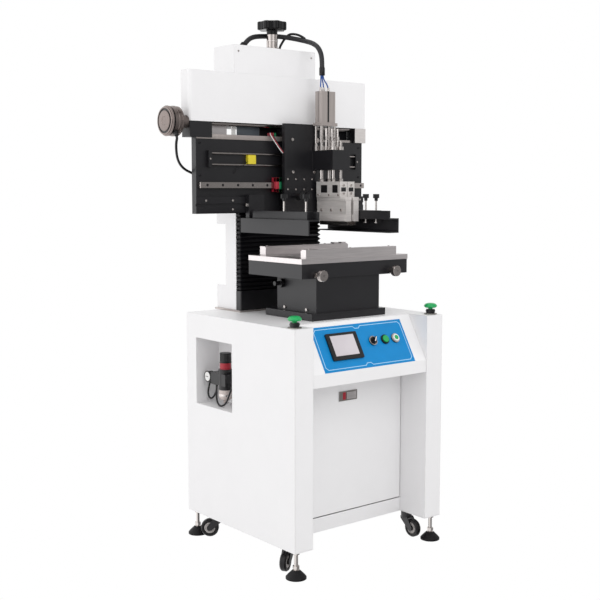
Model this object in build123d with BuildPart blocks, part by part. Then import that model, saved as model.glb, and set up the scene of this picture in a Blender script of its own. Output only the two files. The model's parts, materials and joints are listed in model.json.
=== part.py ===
"""A semi-automatic solder paste stencil printer on a sheet metal cabinet.

X runs to the right as the user sees it, Y to the back and Z up. The sizes below are read from
the floor under the middle of the cabinet. Each finished piece then moves sideways, so that the
origin lies on the floor under the middle of the whole outline. All lengths are in millimetres.
"""

import os
from math import atan2, cos, pi, radians, sin, tan

from build123d import *

# Driving dimensions of the cabinet
cabinet_width = 600.0
cabinet_depth = 564.0
cabinet_bottom = 81.0
cabinet_top = 737.0
sheet = 2.0
pan_thickness = 3.0
column_width = 68.0
column_reach = 84.0
door_setback = 114.0
slope_drop = 140.0
lip_drop = 39.0
door_hinge_inset = 6.0
hinge_pin_radius = 3.0
hinge_pin_length = 12.0
lower_rail_height = 45.0
window_low_y = 29.0
window_width = 199.0
window_low_z = 446.0
window_height = 214.0
niche_depth = 86.0

# Driving dimensions of the console, its screen and its buttons
overlay_width = 368.0
overlay_height = 145.0
overlay_drop = 7.0
overlay_thickness = 0.8
screen_width = 121.0
screen_height = 86.0
screen_bezel = 6.0
screen_body_depth = 30.0
screen_rim = 4.0
screen_corner = 3.0
screen_play = 0.5
screen_border = (14.0, 10.0)
screen_picture_rise = 2.5
screen_picture_depth = 1.2
screen_x = -79.5
screen_drop = 3.5
button_x = (40.0, 90.0, 134.0)
button_rise = 3.0
button_ring_radius = 15.0
button_ring_height = 4.2
button_cap_radius = 11.5
button_cap_height = 4.0
button_stem_radius = 7.0
barrel_radius = 11.0
barrel_length = 42.0
button_travel = 3.5
palm_inset = (23.0, 30.0)
palm_plate_radius = 19.0
palm_collar_radius = 14.0
palm_collar_height = 16.0
palm_cap_radius = 21.0
palm_cap_height = 15.0
palm_travel = 5.0

# Driving dimensions of the feet and casters
foot_inset = 21.0
foot_radius = 31.0
foot_pad_height = 26.0
foot_rod_radius = 6.0
foot_nut_radius = 10.5
foot_nut_height = 9.0
caster_inset = (54.0, 97.0)
caster_trail = 30.0
wheel_radius = 29.0
wheel_width = 20.0
wheel_lift = 3.0
axle_radius = 4.0
fork_sheet = 3.0
fork_disc_radius = 18.0
caster_stem_radius = 6.0
caster_heading = {"front_left": 212.0, "front_right": 270.0, "rear_left": 140.0, "rear_right": 62.0}

# Driving dimensions of the pedestal and the printing table
pedestal_x = (-144.0, 158.0)
pedestal_y = (-168.0, 62.0)
pedestal_plate = 22.0
pedestal_step = 24.0
pedestal_front_step = 8.0
pedestal_body_depth = 193.0
table_x = (-180.0, 255.0)
table_y = (-165.0, 103.0)
table_block_bottom = 866.0
table_block_height = 44.0
table_plate_thickness = 16.0
rail_height = 27.0
rail_depth = 25.0
front_rail_x = (-162.0, 210.0)
rear_rail_x = (-137.0, 210.0)
rear_rail_depth = 30.0
table_knob_x = (-127.0, 183.0)
table_knob_reach = (40.0, 32.0)
table_knob_radius = 16.5
table_knob_thickness = 16.0
table_shaft_radius = 5.0
table_shaft_depth = 40.0
side_knob_y = 6.0
side_knob_drop = 25.0

# Driving dimensions of the column and the lift
tower_width = 332.0
tower_front = 193.0
tower_back = 301.0
tower_sheet = 3.0
tower_top = 1290.0
notch_back = 250.0
notch_low_z = 819.0
notch_high_z = 1020.0
tower_foot = 6.0
guide_rod_x = 100.0
guide_rod_y = 218.0
guide_rod_radius = 12.0
guide_rod_top = 1525.0
tie_plate = 20.0
lift_cylinder_radius = 22.0
lift_cylinder_top = 1010.0
lift_rod_radius = 8.0
lift_down = 36.0
bellows_half_width = 168.0
bellows_front = 165.0
bellows_depth = 25.0
bellows_base_height = 62.0
bellows_folds = 18
fold_depth = 7.0

# Driving dimensions of the print head
beam_x = (-340.0, 347.0)
beam_front = 157.0
beam_thickness = 24.0
beam_bottom = 1057.0
beam_top = 1293.0
cover_gap = 49.0
cover_x = (-367.0, 360.0)
cover_front = 150.0
cover_back = 195.0
cover_top = 1497.0
cover_corner = 12.0
tower_cover_half = 167.0
tower_cover_back = 308.0
tower_cover_top = 1592.0
frame_half = 140.0
frame_bottom = 1080.0
frame_back = 243.0
screw_y = 172.0
screw_z = 1339.0
screw_radius = 8.0
motor_radius = 46.0
motor_x = (-440.0, -410.0)
knob_x = 13.0
knob_y = 232.0
knob_radius = 49.0
knob_height = 27.0
collar_radius = 18.5
collar_height = 48.0
rail_z = 1146.0
rail_width = 18.0
rail_stand = 15.0
sensor_rod_z = (1210.0, 1245.0)
sensor_rod_x = (-288.0, 309.0)
arm_bar_x = (90.0, 347.0)
arm_bar_z = (1059.0, 1109.0)
arm_bar_thickness = 10.0
arm_bar_groove = 8.0
arm_bar_groove_depth = 3.0

# Driving dimensions of the squeegee carriage
carriage_x = (-27.0, 107.0)
carriage_front = 113.0
carriage_thickness = 14.0
carriage_z = (1050.0, 1345.0)
squeegee_x = 125.5
squeegee_pitch = 32.0
bracket_width = 73.0
bracket_front = 10.0
bracket_z = (1196.0, 1260.0)
cylinder_width = 31.0
cylinder_y = 91.5
cylinder_z = (1350.0, 1452.0)
piston_radius = 6.0
squeegee_guide_y = 32.0
squeegee_guide_radius = 5.0
mount_width = 30.0
mount_y = (-20.0, 99.0)
mount_z = (1108.0, 1158.0)
mount_window_z = (1122.0, 1147.0)
mount_window_y = ((-8.0, 20.0), (44.0, 78.0))
holder_width = 22.0
holder_y = (-45.0, 100.0)
holder_z = (1030.0, 1108.0)
adjuster_x = (4.0, 33.0)
adjuster_z = 1111.0
adjuster_radius = 12.5
adjuster_front = 60.0
blade_thickness = 3.0
blade_edge = 1017.0

# Driving dimensions of the stencil arms
arm_width = 42.0
arm_wall = 4.0
arm_front = -186.0
arm_z = (996.0, 1042.0)
left_arm_x = -172.0
right_arm_x = 197.0
arm_block_top = 1116.0
arm_block_width = 60.0
arm_block_inset = 13.0
clamp_y = {"left": (-40.0, -147.0), "right": (-55.0, -104.0)}
clamp_inset = 20.0
arm_bar_rise = 24.0
arm_bar_setback = 14.0
arm_bar_margin = 15.0
arm_bar_back = 111.0
arm_plate_thickness = 5.0
frame_slot = 29.0
clamp_radius = 3.0
clamp_top = 1118.0
clamp_grip = 12.0

# Driving dimensions of the air regulator in the niche
regulator_inset = 44.0
regulator_rise = 54.0
regulator_y = 127.0
regulator_radius = 18.0
regulator_height = 66.0
regulator_half_width = 21.0
bowl_radius = 22.0
bowl_depth = 44.0
knob_ring_height = 22.0
air_knob_height = 30.0
air_knob_stem = 14.0
gauge_radius = 17.0
gauge_depth = 18.0
gauge_pipe_radius = 6.0
air_tube_radius = 3.0

# Clearances
running = 0.05
slack = 0.3
seat_gap = 0.3
panel_gap = 2.0
hinge_gap = 3.0

# Places that follow from the sizes above
half_width = cabinet_width / 2
half_depth = cabinet_depth / 2
front_y = -half_depth
column_inner = half_width - column_width
slope_top_y = front_y + column_reach
door_y = front_y + door_setback
console_front = front_y + sheet
slope_run = slope_top_y - console_front
slope_low_z = cabinet_top - slope_drop
lip_low_z = slope_low_z - lip_drop
pan_top = cabinet_bottom + pan_thickness
slope_angle = atan2(slope_run, slope_drop)
console_plane = Plane(
    origin=(0, (slope_top_y + console_front) / 2, cabinet_top - slope_drop / 2),
    x_dir=(1, 0, 0),
    z_dir=(0, -cos(slope_angle), sin(slope_angle)),
)
cover_bottom = beam_top + cover_gap
beam_back = beam_front + beam_thickness
table_block_top = table_block_bottom + table_block_height
plate_bottom = table_block_top + seat_gap
plate_top = table_block_top + table_plate_thickness
wheel_z = wheel_radius + wheel_lift
bracket_x = (squeegee_x - bracket_width / 2, squeegee_x + bracket_width / 2)

# The pieces are built about the cabinet's middle and move to that of the whole outline
outline_x = (motor_x[0], cover_x[1])
outline_y = (-half_depth + foot_inset - foot_radius, tower_cover_back)
origin_shift = (-sum(outline_x) / 2, -sum(outline_y) / 2, 0)

os.makedirs("parts", exist_ok=True)


def slab(x, y, z, mode=Mode.ADD):
    """Adds a box that runs between the low and high value of each axis."""
    middle = ((x[0] + x[1]) / 2, (y[0] + y[1]) / 2, (z[0] + z[1]) / 2)
    with Locations(middle):
        Box(x[1] - x[0], y[1] - y[0], z[1] - z[0], mode=mode)


def rod(start, direction, radius, length, mode=Mode.ADD):
    """Adds a round bar, or cuts a bore, from a point along a direction."""
    with BuildSketch(Plane(origin=start, z_dir=direction)) as section:
        Circle(radius)
    extrude(section.sketch, amount=length, mode=mode)


def turned(plane, outline, mode=Mode.ADD):
    """Adds a turned piece from (radius, height) points about a plane's normal."""
    side = Plane(origin=plane.origin, x_dir=plane.x_dir, z_dir=-plane.y_dir)
    with BuildSketch(side) as profile:
        with BuildLine():
            Polyline(*outline, close=True)
        make_face()
    revolve(profile.sketch, axis=Axis(plane.origin, plane.z_dir), mode=mode)


def keep(solid, name):
    """Moves a finished piece to the part's origin, labels it and writes it to its own file."""
    placed = solid.moved(Location(origin_shift))
    placed.label = name
    export_step(placed, f"parts/{name}.step")


def keep_group(solids, name):
    """Moves several separate solids of one sub-part and writes them to one file."""
    group = Compound(children=[solid.moved(Location(origin_shift)) for solid in solids])
    group.label = name
    export_step(group, f"parts/{name}.step")


# Left side panel with the window of the service niche
left_x = (-half_width, -half_width + sheet)
window_y = (window_low_y, window_low_y + window_width)
window_z = (window_low_z, window_low_z + window_height)
with BuildPart() as left_side_panel:
    slab(left_x, (front_y, half_depth), (cabinet_bottom, cabinet_top))
    slab(left_x, window_y, window_z, mode=Mode.SUBTRACT)
keep(left_side_panel.part, "left_side_panel")

# Niche tray behind the window
niche_x = (left_x[1], left_x[1] + niche_depth)
with BuildPart() as service_niche:
    slab(
        (niche_x[0], niche_x[1] + sheet),
        (window_y[0] - sheet, window_y[1] + sheet),
        (window_z[0] - sheet, window_z[1] + sheet),
    )
    slab(niche_x, window_y, window_z, mode=Mode.SUBTRACT)
keep(service_niche.part, "service_niche")

# Welded shell: right side, top plate and the two front columns
palm_x = half_width - palm_inset[0]
palm_y = front_y + palm_inset[1]
with BuildPart() as right_side:
    slab((half_width - sheet, half_width), (front_y, half_depth), (cabinet_bottom, cabinet_top))
with BuildPart() as top_plate:
    slab(
        (-half_width + sheet, half_width - sheet),
        (slope_top_y, half_depth),
        (cabinet_top - sheet, cabinet_top),
    )
hinge_y = door_y + door_hinge_inset
hinge_z = cabinet_bottom + lower_rail_height + hinge_gap + door_hinge_inset
liner_past_door = 28.0
columns = []
for side in (-1, 1):
    outer = side * (half_width - sheet)
    inner = side * column_inner
    liner = inner + side * sheet
    across = (min(outer, inner), max(outer, inner))
    with BuildPart() as column:
        slab(across, (front_y, front_y + sheet), (pan_top, cabinet_top))
        slab(
            (min(inner, liner), max(inner, liner)),
            (front_y + sheet, door_y + liner_past_door),
            (pan_top, cabinet_top - sheet),
        )
        slab(across, (front_y + sheet, slope_top_y), (cabinet_top - sheet, cabinet_top))
        rod((liner, hinge_y, hinge_z), (-side, 0, 0), hinge_pin_radius, hinge_pin_length)
        rod(
            (side * palm_x, palm_y, cabinet_top - 2 * sheet),
            (0, 0, 1),
            barrel_radius + slack,
            3 * sheet,
            mode=Mode.SUBTRACT,
        )
    columns.append(column.part)
keep_group([right_side.part, top_plate.part, *columns], "cabinet_shell")

# Base pan with its front rail, the threaded bosses and the caster sockets
foot_x = half_width - foot_inset
foot_y = half_depth - foot_inset
foot_places = [(x, y) for x in (-foot_x, foot_x) for y in (-foot_y, foot_y)]
caster_x = half_width - caster_inset[0]
caster_y = half_depth - caster_inset[1]
caster_places = {
    "front_left": (-caster_x, -caster_y),
    "front_right": (caster_x, -caster_y),
    "rear_left": (-caster_x, caster_y),
    "rear_right": (caster_x, caster_y),
}
boss_height = 20.0
boss_radius = 11.0
bore_depth = 40.0
inner_x = half_width - sheet
with BuildPart() as base_pan:
    slab((-inner_x, inner_x), (front_y, half_depth), (cabinet_bottom, pan_top))
    slab(
        (-column_inner, column_inner),
        (front_y, door_y),
        (cabinet_bottom, pan_top),
        mode=Mode.SUBTRACT,
    )
    slab(
        (-column_inner + slack, column_inner - slack),
        (door_y, door_y + sheet),
        (pan_top, cabinet_bottom + lower_rail_height),
    )
    for x, y in foot_places + list(caster_places.values()):
        rod((x, y, pan_top), (0, 0, 1), boss_radius, boss_height)
    for x, y in foot_places:
        rod(
            (x, y, cabinet_bottom),
            (0, 0, 1),
            foot_rod_radius + slack,
            bore_depth,
            mode=Mode.SUBTRACT,
        )
    for x, y in caster_places.values():
        rod(
            (x, y, cabinet_bottom),
            (0, 0, 1),
            caster_stem_radius + running,
            bore_depth,
            mode=Mode.SUBTRACT,
        )
keep(base_pan.part, "base_pan")

# Back panel with rows of cooling slots
vent_rows = 7
vent_pitch = 14.0
vent_length = 120.0
vent_spread = 264.0
vent_height = 5.0
vent_drop = 177.0
vent_plane = Plane(origin=(0, half_depth, cabinet_top - vent_drop), x_dir=(1, 0, 0), z_dir=(0, 1, 0))
with BuildPart() as back_panel:
    slab(
        (-inner_x, inner_x),
        (half_depth - sheet, half_depth),
        (pan_top, cabinet_top - sheet),
    )
    with BuildSketch(vent_plane):
        with GridLocations(vent_spread, vent_pitch, 2, vent_rows):
            SlotOverall(vent_length, vent_height)
    extrude(amount=-sheet, mode=Mode.SUBTRACT)
keep(back_panel.part, "back_panel")

# Sloped console with its lip and the shelf over the door
slope_wall = sheet / cos(slope_angle)


def slope_y(z):
    """Y of the console's outer face at a height on the slope."""
    return slope_top_y - (cabinet_top - z) * slope_run / slope_drop


inner_front = console_front + sheet
inner_corner_z = cabinet_top - (slope_top_y + slope_wall - inner_front) * slope_drop / slope_run
shelf_rise = 8.0
shelf_past_door = 18.0
shelf_z = lip_low_z + shelf_rise
console_top = cabinet_top - sheet
shelf_back = door_y + shelf_past_door
screen_body = (screen_width - 2 * screen_rim, screen_height - 2 * screen_rim)
screen_hole = tuple(side + 2 * screen_play for side in screen_body)
with BuildPart() as control_console:
    with BuildSketch(Plane(origin=(column_inner - slack, 0, 0), x_dir=(0, 1, 0), z_dir=(1, 0, 0))):
        with BuildLine():
            Polyline(
                (slope_y(console_top), console_top),
                (console_front, slope_low_z),
                (console_front, lip_low_z),
                (inner_front, lip_low_z),
                (inner_front, shelf_z),
                (shelf_back, shelf_z),
                (shelf_back, shelf_z + sheet),
                (inner_front, shelf_z + sheet),
                (inner_front, inner_corner_z),
                (slope_y(console_top) + slope_wall, console_top),
                close=True,
            )
        make_face()
    extrude(amount=-2 * (column_inner - slack))
    with BuildSketch(console_plane):
        with Locations((screen_x, -screen_drop)):
            Rectangle(*screen_hole)
        with Locations(*[(x, button_rise) for x in button_x]):
            Circle(barrel_radius + slack)
    extrude(amount=-2 * sheet, mode=Mode.SUBTRACT)
keep(control_console.part, "control_console")

# Printed overlay on the console
with BuildPart() as control_overlay:
    with BuildSketch(console_plane):
        with Locations((0, -overlay_drop)):
            Rectangle(overlay_width, overlay_height)
        with Locations((screen_x, -screen_drop)):
            Rectangle(*screen_hole, mode=Mode.SUBTRACT)
        with Locations(*[(x, button_rise) for x in button_x]):
            Circle(barrel_radius + slack, mode=Mode.SUBTRACT)
    extrude(amount=overlay_thickness)
keep(control_overlay.part, "control_overlay")

# Touch screen in its bezel
screen_face = console_plane.offset(overlay_thickness)
with BuildPart() as touch_screen:
    with BuildSketch(screen_face):
        with Locations((screen_x, -screen_drop)):
            RectangleRounded(screen_width, screen_height, screen_corner)
    extrude(amount=screen_bezel)
    with BuildSketch(screen_face):
        with Locations((screen_x, -screen_drop)):
            Rectangle(*screen_body)
    extrude(amount=-screen_body_depth)
    with BuildSketch(screen_face.offset(screen_bezel)):
        with Locations((screen_x, -screen_drop + screen_picture_rise)):
            Rectangle(screen_width - 2 * screen_border[0], screen_height - 2 * screen_border[1])
    extrude(amount=-screen_picture_depth, mode=Mode.SUBTRACT)
keep(touch_screen.part, "touch_screen")

# Fixed housings of the three console buttons and of the two palm buttons
stem_bore = button_stem_radius + slack
ring_wall = 3.0
housing_floor = 0.6
palm_plate_height = 2.5
housings = []
for x in button_x:
    spot = Plane(
        origin=screen_face.from_local_coords((x, button_rise, 0)),
        x_dir=screen_face.x_dir,
        z_dir=screen_face.z_dir,
    )
    with BuildPart() as housing:
        turned(
            spot,
            [
                (stem_bore, -barrel_length),
                (barrel_radius, -barrel_length),
                (barrel_radius, 0),
                (button_ring_radius, 0),
                (button_ring_radius, button_ring_height),
                (button_ring_radius - ring_wall, button_ring_height),
                (button_ring_radius - ring_wall, housing_floor),
                (stem_bore, housing_floor),
            ],
        )
    housings.append(housing.part)
for side in (-1, 1):
    spot = Plane(origin=(side * palm_x, palm_y, cabinet_top))
    with BuildPart() as housing:
        turned(
            spot,
            [
                (stem_bore, -barrel_length),
                (barrel_radius, -barrel_length),
                (barrel_radius, 0),
                (palm_plate_radius, 0),
                (palm_plate_radius, palm_plate_height),
                (palm_collar_radius, palm_plate_height),
                (palm_collar_radius, palm_collar_height),
                (stem_bore, palm_collar_height),
            ],
        )
    housings.append(housing.part)
keep_group(housings, "button_housings")

# Console button caps, the selector and the palm button caps
stem_depth = 24.0
stop_gap = 1.0
cap_low = housing_floor + button_travel + stop_gap
cap_chamfer = 1.0
for x, name in zip(button_x[1:], ("start_button", "power_button")):
    spot = Plane(
        origin=screen_face.from_local_coords((x, button_rise, 0)),
        x_dir=screen_face.x_dir,
        z_dir=screen_face.z_dir,
    )
    with BuildPart() as cap:
        turned(
            spot,
            [
                (0, -stem_depth),
                (button_stem_radius, -stem_depth),
                (button_stem_radius, cap_low),
                (button_cap_radius, cap_low),
                (button_cap_radius, cap_low + button_cap_height - cap_chamfer),
                (button_cap_radius - cap_chamfer, cap_low + button_cap_height),
                (0, cap_low + button_cap_height),
            ],
        )
    keep(cap.part, name)

selector_spot = Plane(
    origin=screen_face.from_local_coords((button_x[0], button_rise, 0)),
    x_dir=screen_face.x_dir,
    z_dir=screen_face.z_dir,
)
selector_low = housing_floor + seat_gap
selector_disc = 7.0
selector_lever_height = 9.0
selector_lever_width = 7.0
selector_turned = 55.0
with BuildPart() as selector_lever:
    turned(
        selector_spot,
        [
            (0, -stem_depth),
            (button_stem_radius, -stem_depth),
            (button_stem_radius, selector_low),
            (button_cap_radius, selector_low),
            (button_cap_radius, selector_low + selector_disc),
            (0, selector_low + selector_disc),
        ],
    )
    with BuildSketch(selector_spot.offset(selector_low + selector_disc)):
        SlotOverall(2 * (button_cap_radius - 1), selector_lever_width, rotation=selector_turned)
    extrude(amount=selector_lever_height)
keep(selector_lever.part, "selector_lever")

palm_low = palm_collar_height + palm_travel + seat_gap
for side, name in ((-1, "left_palm_button"), (1, "right_palm_button")):
    spot = Plane(origin=(side * palm_x, palm_y, cabinet_top))
    with BuildPart() as cap:
        turned(
            spot,
            [
                (0, -stem_depth),
                (button_stem_radius, -stem_depth),
                (button_stem_radius, palm_low),
                (palm_cap_radius - 4, palm_low),
                (palm_cap_radius, palm_low + 4),
                (palm_cap_radius - 1, palm_low + 8),
                (palm_cap_radius - 5, palm_low + 12),
                (palm_cap_radius - 11, palm_low + 14),
                (0, palm_low + palm_cap_height),
            ],
        )
    keep(cap.part, name)

# Tilting front door with folded edges and the plate of its latch
door_low = cabinet_bottom + lower_rail_height + hinge_gap
door_high = shelf_z - panel_gap
door_half = column_inner - panel_gap
door_fold = 18.0
door_sheet = 1.5
latch_drop = 69.0
latch_z = door_high - latch_drop
latch_width = 74.0
latch_height = 30.0
latch_thickness = 3.0
with BuildPart() as door_sheet_part:
    slab((-door_half, door_half), (door_y, door_y + door_fold), (door_low, door_high))
    slab(
        (-door_half + door_sheet, door_half - door_sheet),
        (door_y + door_sheet, door_y + door_fold),
        (door_low + door_sheet, door_high - door_sheet),
        mode=Mode.SUBTRACT,
    )
    rod(
        (-half_width, hinge_y, hinge_z),
        (1, 0, 0),
        hinge_pin_radius + running,
        cabinet_width,
        mode=Mode.SUBTRACT,
    )
with BuildPart() as latch_plate:
    slab(
        (-latch_width / 2, latch_width / 2),
        (door_y - latch_thickness, door_y),
        (latch_z - latch_height / 2, latch_z + latch_height / 2),
    )
keep_group([door_sheet_part.part, latch_plate.part], "front_door")

# Levelling feet: cone pads, threaded rods and lock nuts
pad_rim = 5.0
pad_slope = (25.0, 12.0)
nut_gap = 3.0
foot_rod_top = pan_top + 26
feet = []
for x, y in foot_places:
    with BuildPart() as foot:
        turned(
            Plane(origin=(x, y, 0)),
            [
                (0, 0),
                (foot_radius, 0),
                (foot_radius, pad_rim),
                pad_slope,
                (foot_nut_radius, foot_pad_height),
                (0, foot_pad_height),
            ],
        )
        rod((x, y, foot_pad_height), (0, 0, 1), foot_rod_radius, foot_rod_top - foot_pad_height)
        for nut_z in (foot_pad_height + nut_gap, cabinet_bottom - foot_nut_height):
            with BuildSketch(Plane(origin=(x, y, nut_z))):
                RegularPolygon(foot_nut_radius, 6)
            extrude(amount=foot_nut_height)
    feet.append(foot.part)
keep_group(feet, "levelling_feet")

# Swivel casters: a fork with its stem and axle, and a wheel
fork_inner = wheel_width / 2 + 1.5
fork_top = cabinet_bottom - seat_gap
fork_bridge_low = wheel_z + wheel_radius + 1
for place, (x, y) in caster_places.items():
    heading = radians(caster_heading[place])
    ahead = (cos(heading), sin(heading), 0)
    across = (-sin(heading), cos(heading), 0)
    hub = (x + caster_trail * ahead[0], y + caster_trail * ahead[1], wheel_z)
    with BuildPart() as fork:
        rod((x, y, fork_bridge_low), (0, 0, 1), fork_disc_radius, fork_top - fork_bridge_low)
        rod((x, y, fork_top), (0, 0, 1), caster_stem_radius, pan_top + boss_height - fork_top)
        with BuildSketch(Plane(origin=(x, y, fork_bridge_low), x_dir=ahead, z_dir=(0, 0, 1))):
            with Locations((2, 0)):
                Rectangle(30, 2 * (fork_inner + fork_sheet))
        extrude(amount=4)
        for side in (-1, 1):
            shift = side * (fork_inner + fork_sheet / 2) + fork_sheet / 2
            cheek = Plane(
                origin=(x + across[0] * shift, y + across[1] * shift, 0),
                x_dir=ahead,
                z_dir=(-across[0], -across[1], 0),
            )
            with BuildSketch(cheek):
                with BuildLine():
                    Polyline(
                        (-13, fork_bridge_low + 4),
                        (17, fork_bridge_low + 4),
                        (caster_trail + 8, wheel_z + 4),
                        (caster_trail + 8, wheel_z - 5),
                        (caster_trail + 2, wheel_z - 9),
                        (caster_trail - 6, wheel_z - 7),
                        (-13, fork_bridge_low - 4),
                        close=True,
                    )
                make_face()
            extrude(amount=fork_sheet)
        start = [hub[i] - across[i] * (fork_inner + fork_sheet) for i in range(3)]
        rod(tuple(start), across, axle_radius, 2 * (fork_inner + fork_sheet))
    keep(fork.part, f"{place}_caster_fork")
    with BuildPart() as wheel:
        rim = Plane(origin=hub, x_dir=ahead, z_dir=across)
        turned(
            rim,
            [
                (axle_radius + running, -wheel_width / 2 - 1),
                (9, -wheel_width / 2 - 1),
                (9, -wheel_width / 2 + 3),
                (wheel_radius - 9, -wheel_width / 2 + 3),
                (wheel_radius - 9, -wheel_width / 2),
                (wheel_radius - 3, -wheel_width / 2),
                (wheel_radius, -wheel_width / 2 + 4),
                (wheel_radius, wheel_width / 2 - 4),
                (wheel_radius - 3, wheel_width / 2),
                (wheel_radius - 9, wheel_width / 2),
                (wheel_radius - 9, wheel_width / 2 - 3),
                (9, wheel_width / 2 - 3),
                (9, wheel_width / 2 + 1),
                (axle_radius + running, wheel_width / 2 + 1),
            ],
        )
    keep(wheel.part, f"{place}_caster_wheel")

# Pedestal under the printing table: foot plate, housing and its screws
pedestal_plate_top = cabinet_top + pedestal_plate
body_x = (pedestal_x[0] + pedestal_step, pedestal_x[1] - pedestal_step + 4)
body_y = (pedestal_y[0] + pedestal_front_step, pedestal_y[0] + pedestal_front_step + pedestal_body_depth)
body_top = table_block_bottom - seat_gap
side_knob_z = table_block_bottom - side_knob_drop
pedestal_screw_radius = 4.5
with BuildPart() as pedestal_foot:
    slab(pedestal_x, pedestal_y, (cabinet_top, pedestal_plate_top))
with BuildPart() as pedestal_body:
    slab(body_x, body_y, (pedestal_plate_top, body_top))
    rod(
        (body_x[0], side_knob_y, side_knob_z),
        (1, 0, 0),
        table_shaft_radius + running,
        table_shaft_depth + 1,
        mode=Mode.SUBTRACT,
    )
pedestal_screws = []
for y in (body_y[0] + 45, body_y[1] - 40):
    with BuildPart() as screw:
        rod((body_x[0], y, pedestal_plate_top + 8), (-1, 0, 0), pedestal_screw_radius, 4)
    pedestal_screws.append(screw.part)
keep_group([pedestal_foot.part, pedestal_body.part, *pedestal_screws], "pedestal")

# Sliding table block with the bores of its two adjusting screws
knob_z = table_block_bottom + 10
with BuildPart() as table_block:
    slab(table_x, table_y, (table_block_bottom, table_block_top))
    for x in table_knob_x:
        rod(
            (x, table_y[0], knob_z),
            (0, 1, 0),
            table_shaft_radius + running,
            table_shaft_depth + 1,
            mode=Mode.SUBTRACT,
        )
keep(table_block.part, "table_block")

# Table plate with two grooves, and the fixed front rail on it
groove_x = (-95.0, 165.0)
groove_width = 10.0
groove_depth = 5.0
front_rail_y = (table_y[0] + 3, table_y[0] + 3 + rail_depth)
rear_rail_y = (table_y[1] - 2 - rear_rail_depth, table_y[1] - 2)
rail_top = plate_top + rail_height
with BuildPart() as plate:
    slab((table_x[0] - 1, table_x[1] + 3), table_y, (plate_bottom, plate_top))
    for x in groove_x:
        slab(
            (x - groove_width / 2, x + groove_width / 2),
            (front_rail_y[1] + 6, table_y[1]),
            (plate_top - groove_depth, plate_top),
            mode=Mode.SUBTRACT,
        )
with BuildPart() as front_rail:
    slab(front_rail_x, front_rail_y, (plate_top, rail_top))
    slab(
        front_rail_x,
        (front_rail_y[1] - 4, front_rail_y[1]),
        (rail_top - 3, rail_top),
        mode=Mode.SUBTRACT,
    )
keep_group([plate.part, front_rail.part], "table_plate")

# Rear rail that slides in the grooves, with its end stops
with BuildPart() as rear_rail:
    slab(rear_rail_x, rear_rail_y, (plate_top + seat_gap, rail_top))
    slab(
        rear_rail_x,
        (rear_rail_y[0], rear_rail_y[0] + 4),
        (rail_top - 3, rail_top),
        mode=Mode.SUBTRACT,
    )
    for x in groove_x:
        slab(
            (x - groove_width / 2 + slack, x + groove_width / 2 - slack),
            rear_rail_y,
            (plate_top - groove_depth + seat_gap, plate_top + seat_gap),
        )
    for x in (rear_rail_x[1] - 46, rear_rail_x[1] - 12):
        slab((x - 9, x + 9), (rear_rail_y[0] + 8, rear_rail_y[1] - 4), (rail_top, rail_top + 4))
keep(rear_rail.part, "rear_rail")

# Adjusting knobs of the table
for x, reach, name in zip(table_knob_x, table_knob_reach, ("left_table_knob", "right_table_knob")):
    with BuildPart() as knob:
        turned(
            Plane(origin=(x, table_y[0], knob_z), x_dir=(1, 0, 0), z_dir=(0, -1, 0)),
            [
                (0, -table_shaft_depth),
                (table_shaft_radius, -table_shaft_depth),
                (table_shaft_radius, seat_gap),
                (10, seat_gap),
                (10, 11),
                (7, 11),
                (7, reach - table_knob_thickness),
                (table_knob_radius - 1, reach - table_knob_thickness),
                (table_knob_radius, reach - table_knob_thickness + 1),
                (table_knob_radius, reach - 1),
                (table_knob_radius - 1, reach),
                (0, reach),
            ],
        )
    keep(knob.part, name)
with BuildPart() as side_table_knob:
    turned(
        Plane(origin=(body_x[0], side_knob_y, side_knob_z), x_dir=(0, 1, 0), z_dir=(-1, 0, 0)),
        [
            (0, -table_shaft_depth),
            (table_shaft_radius, -table_shaft_depth),
            (table_shaft_radius, seat_gap),
            (14, seat_gap),
            (14, 13),
            (7, 13),
            (7, 32),
            (0, 32),
        ],
    )
keep(side_table_knob.part, "side_table_knob")

# Column: two notched side plates and the back cover between them
tower_half = tower_width / 2
cheeks = []
for side in (-1, 1):
    outer = side * tower_half
    with BuildPart() as cheek:
        with BuildSketch(Plane(origin=(outer, 0, 0), x_dir=(0, 1, 0), z_dir=(1, 0, 0))):
            with BuildLine():
                Polyline(
                    (tower_front, cabinet_top + tower_foot),
                    (tower_back, cabinet_top + tower_foot),
                    (tower_back, notch_low_z),
                    (notch_back, notch_low_z),
                    (notch_back, notch_high_z),
                    (tower_back, notch_high_z),
                    (tower_back, tower_top),
                    (tower_front, tower_top),
                    close=True,
                )
            make_face()
        extrude(amount=-side * tower_sheet)
    cheeks.append(cheek.part)
tower_inner = tower_half - tower_sheet
with BuildPart() as tower_back_cover:
    slab(
        (-tower_inner, tower_inner),
        (notch_back - tower_sheet, notch_back),
        (cabinet_top + tower_foot, tower_top),
    )
keep_group([*cheeks, tower_back_cover.part], "column_shell")

# Lift unit: foot plate, two guide rods, the lift cylinder and the tie plate
foot_plate_top = cabinet_top + tower_foot
with BuildPart() as lift_foot:
    slab(
        (-bellows_half_width - 6, bellows_half_width + 6),
        (bellows_front - 5, tower_back + 4),
        (cabinet_top, foot_plate_top),
    )
guide_rods = []
for side in (-1, 1):
    with BuildPart() as guide_rod:
        rod(
            (side * guide_rod_x, guide_rod_y, foot_plate_top),
            (0, 0, 1),
            guide_rod_radius,
            guide_rod_top - foot_plate_top,
        )
    guide_rods.append(guide_rod.part)
lift_rod_low = 880.0
with BuildPart() as lift_cylinder:
    rod(
        (0, guide_rod_y, foot_plate_top),
        (0, 0, 1),
        lift_cylinder_radius,
        lift_cylinder_top - foot_plate_top,
    )
    bore_low = lift_rod_low - lift_down - 10
    rod(
        (0, guide_rod_y, bore_low),
        (0, 0, 1),
        lift_rod_radius + running,
        lift_cylinder_top - bore_low,
        mode=Mode.SUBTRACT,
    )
tie_top = guide_rod_top + tie_plate
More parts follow.
